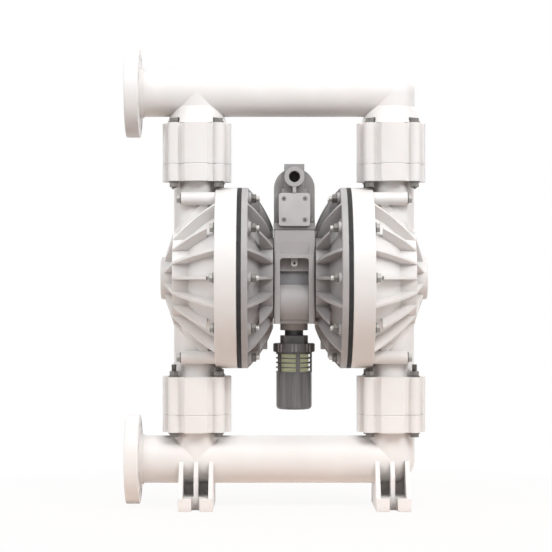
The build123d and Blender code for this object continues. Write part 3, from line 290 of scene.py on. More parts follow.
def add_bump(tree, shader, height, distance, strength, edge_radius=None):
    """Bump from a height value, over edges that a bevel normal softens."""
    bump = tree.nodes.new("ShaderNodeBump")
    bump.inputs["Strength"].default_value = strength
    bump.inputs["Distance"].default_value = distance
    tree.links.new(height, bump.inputs["Height"])
    if edge_radius is not None:
        bevel = tree.nodes.new("ShaderNodeBevel")
        bevel.samples = BEVEL_SAMPLES
        bevel.inputs["Radius"].default_value = edge_radius
        tree.links.new(bevel.outputs["Normal"], bump.inputs["Normal"])
    tree.links.new(bump.outputs["Normal"], shader.inputs["Normal"])


def paint_crease_shade(tree, colour, reach, tone):
    """Colour that turns towards a tone where near surfaces close in: painted shade in the creases.
    """
    closeness = tree.nodes.new("ShaderNodeAmbientOcclusion")
    closeness.samples = CREASE_SAMPLES
    closeness.inputs["Distance"].default_value = reach
    shades = two_tones(
        tree, closeness.outputs["AO"], tone, (1, 1, 1), start=CREASE_START, end=CREASE_END
    )
    product = tree.nodes.new("ShaderNodeVectorMath")
    product.operation = "MULTIPLY"
    tree.links.new(colour, product.inputs[0])
    tree.links.new(shades, product.inputs[1])
    return product.outputs["Vector"]


def shade_creases(tree, shader, colour, reach, tone):
    """Give the shader a colour with painted shade in its creases."""
    tree.links.new(paint_crease_shade(tree, colour, reach, tone), shader.inputs["Base Color"])


def vary_roughness(tree, shader, value, low, high):
    """Spread the roughness between two values."""
    tree.links.new(spread(tree, value, low, high), shader.inputs["Roughness"])


# %% White polypropylene
polypropylene, tree, shader = new_material(
    "white_polypropylene", (0.82, 0.80, 0.79), 0.42, Subsurface_Weight=0.12
)
shader.inputs["Subsurface Radius"].default_value = (1.0, 0.62, 0.5)
shader.inputs["Subsurface Scale"].default_value = 0.006
cloud = add_noise(tree, scale=9, detail=3)
tint = two_tones(
    tree, cloud, (0.825, 0.80, 0.785), (0.865, 0.85, 0.838), start=0.32, end=0.68
)
# Painted shade in the corners and creases of the plastic.
shade_creases(tree, shader, tint, reach=0.030, tone=(0.58, 0.565, 0.55))
flow = add_noise(tree, scale=26, detail=4, stretch=(1, 1, 0.25))
vary_roughness(tree, shader, flow, low=0.34, high=0.50)
grain = add_noise(tree, scale=900, detail=2)
add_bump(tree, shader, grain, distance=0.0004, strength=0.18, edge_radius=0.0016)

# %% [markdown]
# ## Grey castings
# The centre block, air valve and air chambers are castings with a thin grey coat. Coated castings
# keep the sandy skin of the mould, which comes from noise in the material, because grit that fine
# would need millions of faces in the mesh. Their corners are darkened as painted shade.

# %% Sandy skin
CASTING_TONES = ((0.395, 0.382, 0.382), (0.48, 0.466, 0.464))
# Tone of the painted shade in the creases of the castings.
CASTING_CREASE_SHADE = (0.40, 0.37, 0.355)


def sandy_skin(tree, shader, distance=0.0007, strength=0.22):
    """Fine grit that a sand mould leaves, over edges that are slightly round."""
    sand = add_noise(tree, scale=420, detail=3)
    add_bump(tree, shader, sand, distance, strength, edge_radius=0.0014)


# %% Grey casting
casting, tree, shader = new_material("grey_casting", (0.44, 0.43, 0.43), 0.5)
patch = add_noise(tree, scale=14, detail=4)
tint = two_tones(tree, patch, *CASTING_TONES)
shade_creases(tree, shader, tint, reach=0.03, tone=CASTING_CREASE_SHADE)
vary_roughness(tree, shader, patch, low=0.40, high=0.58)
sandy_skin(tree, shader)

# %% [markdown]
# ## Centre block
# The block is the same casting, but little light reaches the deep wall of its windows, so that
# wall is given a darker tone as painted shade. The wall is found by its place: a box in Object
# coordinates, taken from the middle to both sides, so that the front and the back window are
# alike. This needs no second material and no cut in the solid. A second, finer darkening of the
# creases paints shade into the narrow gaps.

# %% Tint by place


def object_axes(tree, both_sides=False):
    """X, Y and Z of a place on the object, without their signs where both sides are alike."""
    place = tree.nodes.new("ShaderNodeTexCoord").outputs["Object"]
    if both_sides:
        distance = tree.nodes.new("ShaderNodeVectorMath")
        distance.operation = "ABSOLUTE"
        tree.links.new(place, distance.inputs[0])
        place = distance.outputs["Vector"]
    axes = tree.nodes.new("ShaderNodeSeparateXYZ")
    tree.links.new(place, axes.inputs[0])
    return axes.outputs


def within(tree, value, middle, half):
    """1 where a value lies within a half width of the middle, and 0 elsewhere."""
    test = tree.nodes.new("ShaderNodeMath")
    test.operation = "COMPARE"
    test.inputs[1].default_value = middle
    test.inputs[2].default_value = half
    tree.links.new(value, test.inputs[0])
    return test.outputs[0]


def tint_where(tree, mask, colour, tone):
    """Colour that gives way to a tone where the mask is 1."""
    mix = tree.nodes.new("ShaderNodeMix")
    mix.data_type = "RGBA"
    mix.inputs["B"].default_value = (*tone, 1)
    tree.links.new(mask, mix.inputs["Factor"])
    tree.links.new(colour, mix.inputs["A"])
    return mix.outputs["Result"]


# %% Casting of the centre block
# Box of the deep window wall that gets painted shade.
DEEP_WALL = {"X": (0.0, 0.0325), "Y": (0.0575, 0.002), "Z": (0.515, 0.0175)}

block_casting, tree, shader = new_material("block_casting", (0.44, 0.43, 0.43), 0.5)
patch = add_noise(tree, scale=14, detail=4)
tint = two_tones(tree, patch, *CASTING_TONES)
axes = object_axes(tree, both_sides=True)
near_x, near_y, near_z = (within(tree, axes[axis], *DEEP_WALL[axis]) for axis in "XYZ")
on_wall = combine(tree, "MULTIPLY", combine(tree, "MULTIPLY", near_x, near_y), near_z)
# Painted shade on the deep wall of the windows, and finer painted shade in its narrow gaps.
painted_wall_shade = tint_where(tree, on_wall, tint, tone=(0.27, 0.27, 0.28))
fine_crease_shade = paint_crease_shade(tree, painted_wall_shade, reach=0.005, tone=(0.30, 0.28, 0.27))
shade_creases(tree, shader, fine_crease_shade, reach=0.03, tone=CASTING_CREASE_SHADE)
vary_roughness(tree, shader, patch, low=0.40, high=0.58)
sandy_skin(tree, shader)

# %% [markdown]
# ## Air valve and cover plate
# The air valve's casting is darker than the block, as painted shade, apart from the ring round
# the air inlet, which is left lighter as painted light. That ring is the foremost plane of the
# valve, so its distance along Y alone picks it out. The cover plate is paler than both.

# %% Casting of the air valve with painted shade, and painted light on the inlet face
INLET_FACE = -0.103
LIT_FACE_FROM = 0.0008
LIT_FACE_TO = 0.0002

shaded_valve_casting, tree, shader = new_material("shaded_valve_casting", (0.30, 0.29, 0.29), 0.5)
patch = add_noise(tree, scale=14, detail=4)
tint = two_tones(tree, patch, (0.265, 0.256, 0.256), (0.335, 0.325, 0.324))
# The foremost face round the inlet keeps a lighter tone as painted light, against the painted shade
# of the rest.
lit_inlet_face = tree.nodes.new("ShaderNodeMapRange")
lit_inlet_face.inputs["From Min"].default_value = INLET_FACE + LIT_FACE_FROM
lit_inlet_face.inputs["From Max"].default_value = INLET_FACE + LIT_FACE_TO
tree.links.new(object_axes(tree)["Y"], lit_inlet_face.inputs["Value"])
lit_face_tint = tint_where(tree, lit_inlet_face.outputs["Result"], tint, tone=(0.41, 0.405, 0.405))
# Painted shade in the creases of the valve.
shade_creases(tree, shader, lit_face_tint, reach=0.02, tone=(0.40, 0.38, 0.37))
vary_roughness(tree, shader, patch, low=0.42, high=0.60)
sandy_skin(tree, shader)

# %% Pale cover plate
cover_casting, tree, shader = new_material("cover_casting", (0.56, 0.545, 0.55), 0.5)
patch = add_noise(tree, scale=22, detail=4)
tint = two_tones(tree, patch, (0.47, 0.457, 0.46), (0.55, 0.535, 0.54))
# Painted shade in the creases of the cover plate.
shade_creases(tree, shader, tint, reach=0.006, tone=(0.45, 0.43, 0.43))
vary_roughness(tree, shader, patch, low=0.42, high=0.56)
sandy_skin(tree, shader, distance=0.0005, strength=0.2)

# %% [markdown]
# ## Rubber
# The diaphragms' clamped edges show as black bands between the chambers. Rubber is nearly black
# and dull, with a bloom of pale dust. Its shine is turned down, since at full strength its
# highlights would look wet.

# %% Rubber
rubber, tree, shader = new_material("dark_rubber", (0.025, 0.024, 0.025), 0.68)
shader.inputs["Specular IOR Level"].default_value = 0.3
dust = add_noise(tree, scale=30, detail=3)
tint = two_tones(
    tree, dust, (0.020, 0.019, 0.020), (0.042, 0.040, 0.040), start=0.35, end=0.75
)
tree.links.new(tint, shader.inputs["Base Color"])
fine = add_noise(tree, scale=700, detail=2)
add_bump(tree, shader, fine, distance=0.0003, strength=0.2, edge_radius=0.0006)

# %% [markdown]
# ## Steel
# The bolts and nuts are zinc plated steel that has gone dull: part metal, part dark skin. A metal
# share of 0.6 to 0.7 gives both at once. The screws of the cover plate are brighter. The disc
# bolts get a painted highlight on the stud ends past their nuts, which stand out against the dark
# gap between the discs, and these ends are found by their distance from the middle along X.

# %% Steel of bolts and nuts


def fine_scratches(tree, shader):
    """Small scratches over edges that are slightly round."""
    scratch = add_noise(tree, scale=900, detail=2)
    add_bump(tree, shader, scratch, distance=0.0002, strength=0.2, edge_radius=0.0007)


fastener_steel, tree, shader = new_material(
    "fastener_steel", (0.18, 0.17, 0.16), 0.45, Metallic=0.6
)
stain = add_noise(tree, scale=120, detail=3)
tint = two_tones(tree, stain, (0.11, 0.103, 0.096), (0.22, 0.207, 0.193))
# Painted shade in the creases of the bolts and nuts.
shade_creases(tree, shader, tint, reach=0.008, tone=(0.35, 0.32, 0.30))
vary_roughness(tree, shader, stain, low=0.38, high=0.56)
fine_scratches(tree, shader)

# %% Plated steel of the cover's screws
PLATED_TONES = ((0.26, 0.25, 0.235), (0.42, 0.41, 0.39))

plated_steel, tree, shader = new_material("plated_steel", (0.42, 0.41, 0.39), 0.36, Metallic=0.7)
stain = add_noise(tree, scale=140, detail=3)
tint = two_tones(tree, stain, *PLATED_TONES)
# Painted shade in the creases of the screws.
shade_creases(tree, shader, tint, reach=0.006, tone=(0.45, 0.42, 0.40))
vary_roughness(tree, shader, stain, low=0.30, high=0.46)
fine_scratches(tree, shader)

# %% Steel of the disc bolts, with a painted highlight on the stud ends
STUD_REACH = 0.0847

stud_steel, tree, shader = new_material("stud_steel", (0.5, 0.49, 0.47), 0.36, Metallic=0.6)
stain = add_noise(tree, scale=140, detail=3)
tint = two_tones(tree, stain, *PLATED_TONES)
# Painted highlight: the stud ends past the nuts are made much paler.
on_stud_end = within(tree, object_axes(tree)["X"], middle=0.0, half=STUD_REACH)
stud_end_highlight = tint_where(tree, on_stud_end, tint, tone=(0.72, 0.705, 0.68))
tree.links.new(stud_end_highlight, shader.inputs["Base Color"])
vary_roughness(tree, shader, stain, low=0.30, high=0.46)
fine_scratches(tree, shader)

# %% [markdown]
# ## Turned metal of the inside
# The shaft, plates, spool and bushes are turned on a lathe, which leaves faint rings. Noise that
# is squeezed along X, the axis of the shaft, gives rings in the gloss and in the height.

# %% Machined steel and bronze


def turned_rings(tree, shader, scale, low, high):
    """Faint rings of a lathe round the X axis, with a roughness between low and high."""
    turning = add_noise(tree, scale, detail=2, stretch=(6, 1, 1))
    vary_roughness(tree, shader, turning, low, high)
    add_bump(tree, shader, turning, distance=0.0002, strength=0.15, edge_radius=0.0006)


machined_steel, tree, shader = new_material(
    "machined_steel", (0.55, 0.55, 0.56), 0.28, Metallic=1.0
)
turned_rings(tree, shader, scale=160, low=0.2, high=0.36)

bronze, tree, shader = new_material("bearing_bronze", (0.48, 0.33, 0.14), 0.35, Metallic=1.0)
turned_rings(tree, shader, scale=140, low=0.28, high=0.45)

# %% [markdown]
# ## Muffler
# The muffler is dark moulded plastic round a yellow felt element, which shows through the slots
# of its cage. Little light passes the slots, so the felt has a faint glow as painted light, where a
# lamp inside would also light the cage, and its pale yellow is partly its own colour and partly
# painted light. The cup has soft upright streaks, from noise that is drawn out along Z, and the
# grip bars are paler as a painted highlight.

# %% Muffler plastic


def plastic_grain(tree, shader):
    """Fine grain of a moulded plastic."""
    grain = add_noise(tree, scale=800, detail=2)
    add_bump(tree, shader, grain, distance=0.0003, strength=0.2, edge_radius=0.0008)


# Tone of the painted shade in the creases of the muffler plastics.
PLASTIC_CREASE_SHADE = (0.35, 0.34, 0.33)

muffler_plastic, tree, shader = new_material("muffler_plastic", (0.135, 0.13, 0.13), 0.42)
cloud = add_noise(tree, scale=40, detail=3)
tint = two_tones(tree, cloud, (0.113, 0.112, 0.114), (0.162, 0.160, 0.163))
shade_creases(tree, shader, tint, reach=0.01, tone=PLASTIC_CREASE_SHADE)
plastic_grain(tree, shader)

# %% Plastic of the cup
cup_plastic, tree, shader = new_material("muffler_cup_plastic", (0.135, 0.13, 0.13), 0.40)
cloud = add_noise(tree, scale=60, detail=3, stretch=(1, 1, 0.08))
tint = two_tones(
    tree, cloud, (0.094, 0.094, 0.096), (0.163, 0.163, 0.166), start=0.35, end=0.65
)
shade_creases(tree, shader, tint, reach=0.01, tone=PLASTIC_CREASE_SHADE)
plastic_grain(tree, shader)

# %% Felt of the element
filter_element, tree, shader = new_material("filter_element", (0.42, 0.47, 0.12), 0.8)
# Pale yellow of the felt, partly its own colour and partly painted light.
felt = add_noise(tree, scale=450, detail=4)
tint = two_tones(tree, felt, (0.78, 0.80, 0.52), (0.92, 0.93, 0.68))
tree.links.new(tint, shader.inputs["Base Color"])
# Painted light: a faint glow for the light that the cage keeps off the felt.
shader.inputs["Emission Color"].default_value = (0.60, 0.62, 0.38, 1)
shader.inputs["Emission Strength"].default_value = 0.24
add_bump(tree, shader, felt, distance=0.0012, strength=0.5)

# %% Paler plastic of the grip bars, as a painted highlight
grip_highlight_plastic, tree, shader = new_material("grip_highlight_plastic", (0.30, 0.28, 0.29), 0.38)
grip_noise = add_noise(tree, scale=260, detail=3)
# Paler tones of the bars paint the highlight that they catch from the sides.
tint = two_tones(tree, grip_noise, (0.24, 0.225, 0.23), (0.38, 0.355, 0.365))
tree.links.new(tint, shader.inputs["Base Color"])
add_bump(tree, shader, grip_noise, distance=0.0002, strength=0.2, edge_radius=0.0006)

# %% [markdown]
# ## Finish for each solid
# Every solid names the material that it is made of, and that name picks its finish. Three solids
# look different from the rest of their kind, so they have finishes of their own.

# %% Finish for each solid
FINISHES = {
    "white_polypropylene": polypropylene,
    "grey_casting": casting,
    "dark_rubber": rubber,
    "fastener_steel": fastener_steel,
    "machined_steel": machined_steel,
    "bearing_bronze": bronze,
    "muffler_plastic": muffler_plastic,
    "filter_element": filter_element,
}
OWN_FINISHES = {
    "air_valve_body": shaded_valve_casting,
    "valve_cover_plate": cover_casting,
    "centre_block": block_casting,
}
slot_of = {part["node"]: part["material_slot"] for part in frame["record"]["subparts"]}
for name, node in nodes.items():
    node.data.materials.clear()
    node.data.materials.append(OWN_FINISHES.get(name, FINISHES[slot_of[name]]))
print("solids with a finish:", len(nodes))

# %% [markdown]
# ## Bolts and nuts
# Hexagon bolts hold the pods and the two discs. A real head is a hexagon whose top corners are
# turned off by a shallow cone, and a stud end shows a few turns of thread beyond its nut. The
# solids have plain prisms and bars, so one bolt and one nut are modelled here in full and copied
# to every place. The chamfer is cut with a cone, as on a lathe, because a bevel would cut the
# straight edges too.

# %% Selecting, cutting and joining


def select_only(*things):
    """Make these objects the whole selection, the first one active."""
    bpy.ops.object.select_all(action="DESELECT")
    for thing in things:
        thing.select_set(True)
    bpy.context.view_layer.objects.active = things[0]


def add_modifier(piece, kind, **settings):
    """Add a modifier, set it up and apply it."""
    modifier = piece.modifiers.new(kind.lower(), kind)
    for key, value in settings.items():
        setattr(modifier, key, value)
    select_only(piece)
    bpy.ops.object.modifier_apply(modifier=modifier.name)


def cut_with(piece, tool, operation):
    """Boolean of piece with tool, which is used up."""
    add_modifier(piece, "BOOLEAN", object=tool, operation=operation, solver="EXACT")
    bpy.data.objects.remove(tool)


def join_pieces(*parts):
    """Join objects into the first one."""
    select_only(*parts)
    bpy.ops.object.join()
    return bpy.context.object


# %% Hexagon head or nut
FLATS = 0.019
HEAD_HEIGHT = 0.0075
NUT_HEIGHT = 0.0108
CROWN_RADIUS = 0.475 * FLATS
CHAMFER_SLOPE = math.sqrt(3)


def hexagon_head(height, both_ends):
    """Hexagon with its corners turned off at the top, or at both ends."""
    bpy.ops.object.select_all(action="DESELECT")
    bpy.ops.mesh.primitive_cylinder_add(
        vertices=6, radius=FLATS / math.sqrt(3), depth=height, location=(0, 0, height / 2)
    )
    head = bpy.context.object
    wide = CROWN_RADIUS + height * CHAMFER_SLOPE
    for flip in (False, True) if both_ends else (False,):
        bpy.ops.mesh.primitive_cone_add(
            vertices=32,
            radius1=CROWN_RADIUS if flip else wide,
            radius2=wide if flip else CROWN_RADIUS,
            depth=height,
            location=(0, 0, height / 2),
        )
        cut_with(head, bpy.context.object, "INTERSECT")
    select_only(head)
    bpy.ops.object.transform_apply()
    return head


# %% [markdown]
# ## Thread
# A real thread is a helix. At this size a stack of rings with the same pitch looks the same and
# is a clean closed shape: two cones make one ring, and an array repeats it.

# %% Thread


def double_cone(low_radius, high_radius, pitch, vertices):
    """One turn of thread on z = 0: a cone that widens or narrows, and its mirror above it."""
    bpy.ops.object.select_all(action="DESELECT")
    bpy.ops.mesh.primitive_cone_add(
        vertices=vertices, radius1=low_radius, radius2=high_radius, depth=pitch / 2,
        end_fill_type="NOTHING", location=(0, 0, pitch / 4),
    )
    lower = bpy.context.object
    bpy.ops.mesh.primitive_cone_add(
        vertices=vertices, radius1=high_radius, radius2=low_radius, depth=pitch / 2,
        end_fill_type="NOTHING", location=(0, 0, 3 * pitch / 4),
    )
    turn = join_pieces(lower, bpy.context.object)
    bpy.ops.object.transform_apply()
    return turn


def stack_up(piece, count, pitch):
    """Repeat a piece upwards."""
    add_modifier(
        piece, "ARRAY", count=count, use_relative_offset=False, use_constant_offset=True,
        constant_offset_displace=(0, 0, pitch),
    )


def thread_rings(length, crest, groove, pitch):
    """Rings of thread that stand on z = 0, closed at both ends."""
    rings = double_cone(groove, crest, pitch, vertices=20)
    stack_up(rings, max(1, round(length / pitch)), pitch)
    bpy.ops.object.mode_set(mode="EDIT")
    bpy.ops.mesh.select_all(action="SELECT")
    bpy.ops.mesh.remove_doubles(threshold=pitch / 50)
    bpy.ops.mesh.fill_holes(sides=0)
    bpy.ops.mesh.normals_make_consistent(inside=False)
    bpy.ops.object.mode_set(mode="OBJECT")
    return rings


# %% Bolt
BOLT_RADIUS = 0.006
WASHER_HEIGHT = 0.0025
THREAD_PITCH = 0.00175
THREAD_DEPTH = 0.6 * THREAD_PITCH


def hexagon_bolt(shank, tail):
    """Bolt that points down from z = 0, under its head, with its last stretch threaded."""
    head = hexagon_head(HEAD_HEIGHT, both_ends=False)
    bpy.ops.mesh.primitive_cylinder_add(
        vertices=20, radius=BOLT_RADIUS, depth=shank - tail, location=(0, 0, -(shank - tail) / 2)
    )
    bar = bpy.context.object
    bpy.ops.object.transform_apply()
    thread = thread_rings(tail, BOLT_RADIUS, BOLT_RADIUS - THREAD_DEPTH, THREAD_PITCH)
    thread.location = (0, 0, -shank)
    select_only(thread)
    bpy.ops.object.transform_apply()
    return join_pieces(head, bar, thread)


# %% Finished pieces and their copies


def finish_piece(piece, finish, body="pump_frame", smooth_angle=30):
    """Give a piece its material, its smoothing and the body that it moves with."""
    piece.data.materials.clear()
    piece.data.materials.append(finish)
    select_only(piece)
    bpy.ops.object.shade_smooth_by_angle(angle=math.radians(smooth_angle))
    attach(piece, body)


def copies_of(master, name, places, finish, body="pump_frame"):
    """One piece made of copies of master, each with its own mesh, at (place, turn) pairs."""
    parts = []
    for place, turn in places:
        select_only(master)
        bpy.ops.object.duplicate()
        copy = bpy.context.object
        copy.location = place
        copy.rotation_euler = turn
        parts.append(copy)
    piece = join_pieces(*parts)
    bpy.ops.object.transform_apply()
    piece.name = name
    piece.data.name = name
    finish_piece(piece, finish, body)
    bpy.data.objects.remove(master)
    print(name, "copies:", len(parts), "vertices:", len(piece.data.vertices))
    return piece


# %% [markdown]
# ## Disc bolts
# Ten bolts hold each pair of discs together. Four of them, beside the pods, pass through long
# bosses and are longer than the others. All end in a nut on the lugs of the grey disc, with the
# stud end showing in the gap between the two discs.

# %% Disc bolts
SIDES = {"right": 1, "left": -1}
SHAFT_HEIGHT = 0.515
DISC_BOLT_CIRCLE = 0.186
DISC_BOLTS = 10
RIM_BACK = 0.1757
LONG_BOSS_END = 0.252
LUG_FACE = 0.0955
STUD_END = 0.0775
BESIDE_POD = 0.9

for name, side in SIDES.items():
    turn = (0, side * math.radians(90), 0)
    places = {RIM_BACK: [], LONG_BOSS_END: []}
    nuts = []
    for k in range(DISC_BOLTS):
        angle = k * 2 * math.pi / DISC_BOLTS
        y = -DISC_BOLT_CIRCLE * math.cos(angle)
        z = SHAFT_HEIGHT + DISC_BOLT_CIRCLE * math.sin(angle)
        seat = LONG_BOSS_END if abs(math.sin(angle)) > BESIDE_POD else RIM_BACK
        places[seat].append(((side * (seat + WASHER_HEIGHT), y, z), turn))
        nuts.append(((side * (LUG_FACE - NUT_HEIGHT), y, z), turn))
    bolts = []
    for seat, spots in places.items():
        shank = seat + WASHER_HEIGHT - STUD_END
        bolt = hexagon_bolt(shank, LUG_FACE - NUT_HEIGHT - STUD_END + THREAD_PITCH)
        bolts.append(copies_of(bolt, name + "_disc_bolts", spots, stud_steel))
    bolts = join_pieces(*bolts)
    bolts.name = name + "_disc_bolts"
    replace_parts(bolts, name + "_chamber_bolts")
    nut = hexagon_head(NUT_HEIGHT, both_ends=True)
    nut_set = copies_of(nut, name + "_disc_nuts", nuts, fastener_steel)
    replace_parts(nut_set, name + "_chamber_nuts")

# %% [markdown]
# ## Pod bolts
# Each of the four pods is held by four upright bolts. The upper ones have their heads on top and
# their nuts below, and the lower ones point up from under the lower manifold. The outer studs of
# the lower pods stand out further than the inner ones, as in the picture.

# %% Pod bolts and nuts
POD_PLACE = 0.2186
POD_BOLT_HALF = 0.0497

pod_corners = [
    (side * (POD_PLACE + i * POD_BOLT_HALF), j * POD_BOLT_HALF)
    for side in (1, -1) for i in (-1, 1) for j in (-1, 1)
]
upright = (0, 0, 0)
upside_down = (math.radians(180), 0, 0)


def pod_bolts(name, corners, head_seat, length, turn, tail):
    """Bolts of one length at some of the pod corners."""
    heads = [((x, y, head_seat), turn) for x, y in corners]
    return copies_of(hexagon_bolt(length, tail), name, heads, fastener_steel)


def pod_nuts(name, bottom):
    """Nuts at all the pod corners of one level."""
    seats = [((x, y, bottom), upright) for x, y in pod_corners]
    return copies_of(hexagon_head(NUT_HEIGHT, both_ends=True), name, seats, fastener_steel)


# %% Upper pods
UPPER_HEAD_SEAT = 0.8618 + WASHER_HEIGHT
UPPER_STUD_END = 0.7157
UPPER_NUT_BOTTOM = 0.7177

upper_length = UPPER_HEAD_SEAT - UPPER_STUD_END
upper_bolts = pod_bolts(
    "upper_pod_bolt_set", pod_corners, UPPER_HEAD_SEAT, upper_length, upright, NUT_HEIGHT
)
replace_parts(upper_bolts, "upper_pod_bolts")
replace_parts(pod_nuts("upper_pod_nut_set", UPPER_NUT_BOTTOM), "upper_pod_nuts")

# %% Lower pods
LOWER_HEAD_SEAT = 0.170 - WASHER_HEIGHT
LOWER_NUT_BOTTOM = 0.2965
INNER_STUD_OUT = 0.008
OUTER_STUD_OUT = 0.015

lower_bolts = []
for outer, stud_out in ((False, INNER_STUD_OUT), (True, OUTER_STUD_OUT)):
    corners = [(x, y) for x, y in pod_corners if (abs(x) > POD_PLACE) == outer]
    length = LOWER_NUT_BOTTOM + NUT_HEIGHT + stud_out - LOWER_HEAD_SEAT
    lower_bolts.append(pod_bolts(
        "lower_pod_bolt_set", corners, LOWER_HEAD_SEAT, length, upside_down, NUT_HEIGHT + stud_out
    ))
lower_bolts = join_pieces(*lower_bolts)
lower_bolts.name = "lower_pod_bolt_set"
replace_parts(lower_bolts, "lower_pod_bolts")
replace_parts(pod_nuts("lower_pod_nut_set", LOWER_NUT_BOTTOM), "lower_pod_nuts")

# %% [markdown]
# ## Socket screws
# The air valve and its cover plate are held by socket screws. Their sockets look black in the
# picture, so each head is turned as a short cylinder with a broken edge and a deep hexagon is
# cut into it.

# %% Socket screw


def socket_screw(head_radius, head_height, socket_flats, socket_depth, shank_radius, shank_length):
    """Cap screw that points down from z = 0, under its head, with a hexagon socket on top."""
    bpy.ops.object.select_all(action="DESELECT")
    bpy.ops.mesh.primitive_cylinder_add(
        vertices=32, radius=head_radius, depth=head_height, location=(0, 0, head_height / 2)
    )
    head = bpy.context.object
    bpy.ops.object.transform_apply()
    add_modifier(
        head, "BEVEL", width=0.08 * head_height, segments=2, limit_method="ANGLE",
        angle_limit=math.radians(60),
    )
    bpy.ops.mesh.primitive_cylinder_add(
        vertices=16, radius=shank_radius, depth=shank_length + head_height / 2,
        location=(0, 0, head_height / 4 - shank_length / 2),
    )
    cut_with(head, bpy.context.object, "UNION")
    bpy.ops.mesh.primitive_cylinder_add(
        vertices=6, radius=socket_flats / math.sqrt(3), depth=2 * socket_depth,
        location=(0, 0, head_height),
    )
    cut_with(head, bpy.context.object, "DIFFERENCE")
    return head


# %% Screws of the valve's base
VALVE_BASE_TOP = 0.637
VALVE_SCREW_XS = (-0.038, 0.038)
VALVE_SCREW_YS = (-0.084, 0.058)

valve_screw = socket_screw(
    head_radius=0.0065, head_height=0.008, socket_flats=0.006, socket_depth=0.0055,
    shank_radius=0.0039, shank_length=0.034,
)
valve_spots = [
    ((x, y, VALVE_BASE_TOP), upright) for x in VALVE_SCREW_XS for y in VALVE_SCREW_YS
]
valve_screws = copies_of(valve_screw, "valve_base_screws", valve_spots, fastener_steel)
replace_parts(valve_screws, "air_valve_bolts")

# %% Screws of the cover plate
COVER_MIDDLE = 0.6662
COVER_SCREW_HALF_W = 0.0233
COVER_SCREW_HALF_H = 0.0234
COVER_HEAD_BACK = -0.0955
facing_front = (math.radians(90), 0, 0)

cover_screw = socket_screw(
    head_radius=0.005, head_height=0.003, socket_flats=0.0044, socket_depth=0.0065,
    shank_radius=0.0029, shank_length=0.012,
)
cover_spots = [
    ((i * COVER_SCREW_HALF_W, COVER_HEAD_BACK, COVER_MIDDLE + j * COVER_SCREW_HALF_H), facing_front)
    for i in (-1, 1) for j in (-1, 1)
]
cover_screws = copies_of(cover_screw, "cover_plate_screws", cover_spots, plated_steel)
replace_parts(cover_screws, "valve_cover_screws")

# %% [markdown]
# ## Air inlet
# The inlet is a tapped hole. Rings with the pitch of a pipe thread stand just inside the bore and
# catch the light as a real thread does. They are the rings of the bolts turned outside in: the
# crests point to the middle, and the faces are flipped so that they look inwards. A short rounded
# rib of the casting stands below the inlet.

# %% Air inlet thread
INLET_HEIGHT = 0.7385
INLET_RADIUS = 0.0132
INLET_THREAD_LENGTH = 0.018
INLET_THREAD_RISE = 0.001
PIPE_PITCH = 0.0018
CLEAR_OF_WALL = 0.00005


def bore_thread(length, bore, rise, pitch):
    """Ridges that stand into a bore, open at both ends, from z = 0 upwards."""
    ridges = double_cone(bore, bore - rise, pitch, vertices=40)
    stack_up(ridges, round(length / pitch), pitch)
    add_modifier(ridges, "WELD", merge_threshold=pitch / 50)
    bpy.ops.object.mode_set(mode="EDIT")
    bpy.ops.mesh.select_all(action="SELECT")
    bpy.ops.mesh.flip_normals()
    bpy.ops.object.mode_set(mode="OBJECT")
    return ridges


inlet_thread = bore_thread(
    INLET_THREAD_LENGTH, INLET_RADIUS - CLEAR_OF_WALL, INLET_THREAD_RISE, PIPE_PITCH
)
inlet_end = (0, INLET_FACE + INLET_THREAD_LENGTH, INLET_HEIGHT)
copies_of(inlet_thread, "inlet_thread", [(inlet_end, facing_front)], casting)

# %% Rib under the inlet
RIB_WIDTH = 0.0078
RIB_BACK = -0.092
RIB_FRONT = -0.1024
RIB_FOOT = 0.7028
RIB_TOP = 0.722

bpy.ops.object.select_all(action="DESELECT")
bpy.ops.mesh.primitive_cube_add(
    size=1, location=(0, (RIB_BACK + RIB_FRONT) / 2, (RIB_FOOT + RIB_TOP) / 2)
)
inlet_rib = bpy.context.object
inlet_rib.scale = (RIB_WIDTH, RIB_BACK - RIB_FRONT, RIB_TOP - RIB_FOOT)
bpy.ops.object.transform_apply()
add_modifier(inlet_rib, "BEVEL", width=0.0012, segments=3)
inlet_rib.name = "inlet_rib"
finish_piece(inlet_rib, casting)
print("rib vertices:", len(inlet_rib.data.vertices))

# %% [markdown]
# ## Muffler ring
# The muffler's ring carries pairs of upright grip bars, which show as two bright lines at its
# front. One bar is a cube with rounded edges, and its copies are turned to face outwards.

# %% Muffler grip bars
RING_RADIUS = 0.045
RING_BOTTOM = 0.3486
RING_TOP = 0.3681
GRIP_WIDTH = 0.0034
GRIP_DEPTH = 0.0038
GRIP_SHORTER = 0.002
GRIP_PAIRS = 8
GRIP_HALF_ANGLE = math.radians(5)

bpy.ops.object.select_all(action="DESELECT")
bpy.ops.mesh.primitive_cube_add(size=1)
grip = bpy.context.object
grip.scale = (GRIP_WIDTH, GRIP_DEPTH, RING_TOP - RING_BOTTOM - GRIP_SHORTER)
bpy.ops.object.transform_apply()
add_modifier(grip, "BEVEL", width=0.0007, segments=3)
grip_height = (RING_BOTTOM + RING_TOP) / 2
grip_spots = []
for k in range(GRIP_PAIRS):
    for lean in (-GRIP_HALF_ANGLE, GRIP_HALF_ANGLE):
        angle = k * 2 * math.pi / GRIP_PAIRS - math.pi / 2 + lean
        spot = (RING_RADIUS * math.cos(angle), RING_RADIUS * math.sin(angle), grip_height)
        grip_spots.append((spot, (0, 0, angle + math.pi / 2)))
copies_of(grip, "muffler_grip_bars", grip_spots, grip_highlight_plastic)

# %% [markdown]
# ## Muffler cup
# The cup is moulded with shallow upright flutes, which show as soft light and dark streaks. They
# are cut into a turned cup with a ring of thin rods. A displaced surface would need far more
# faces for the same clean edges.

# %% Rod and rounded rim


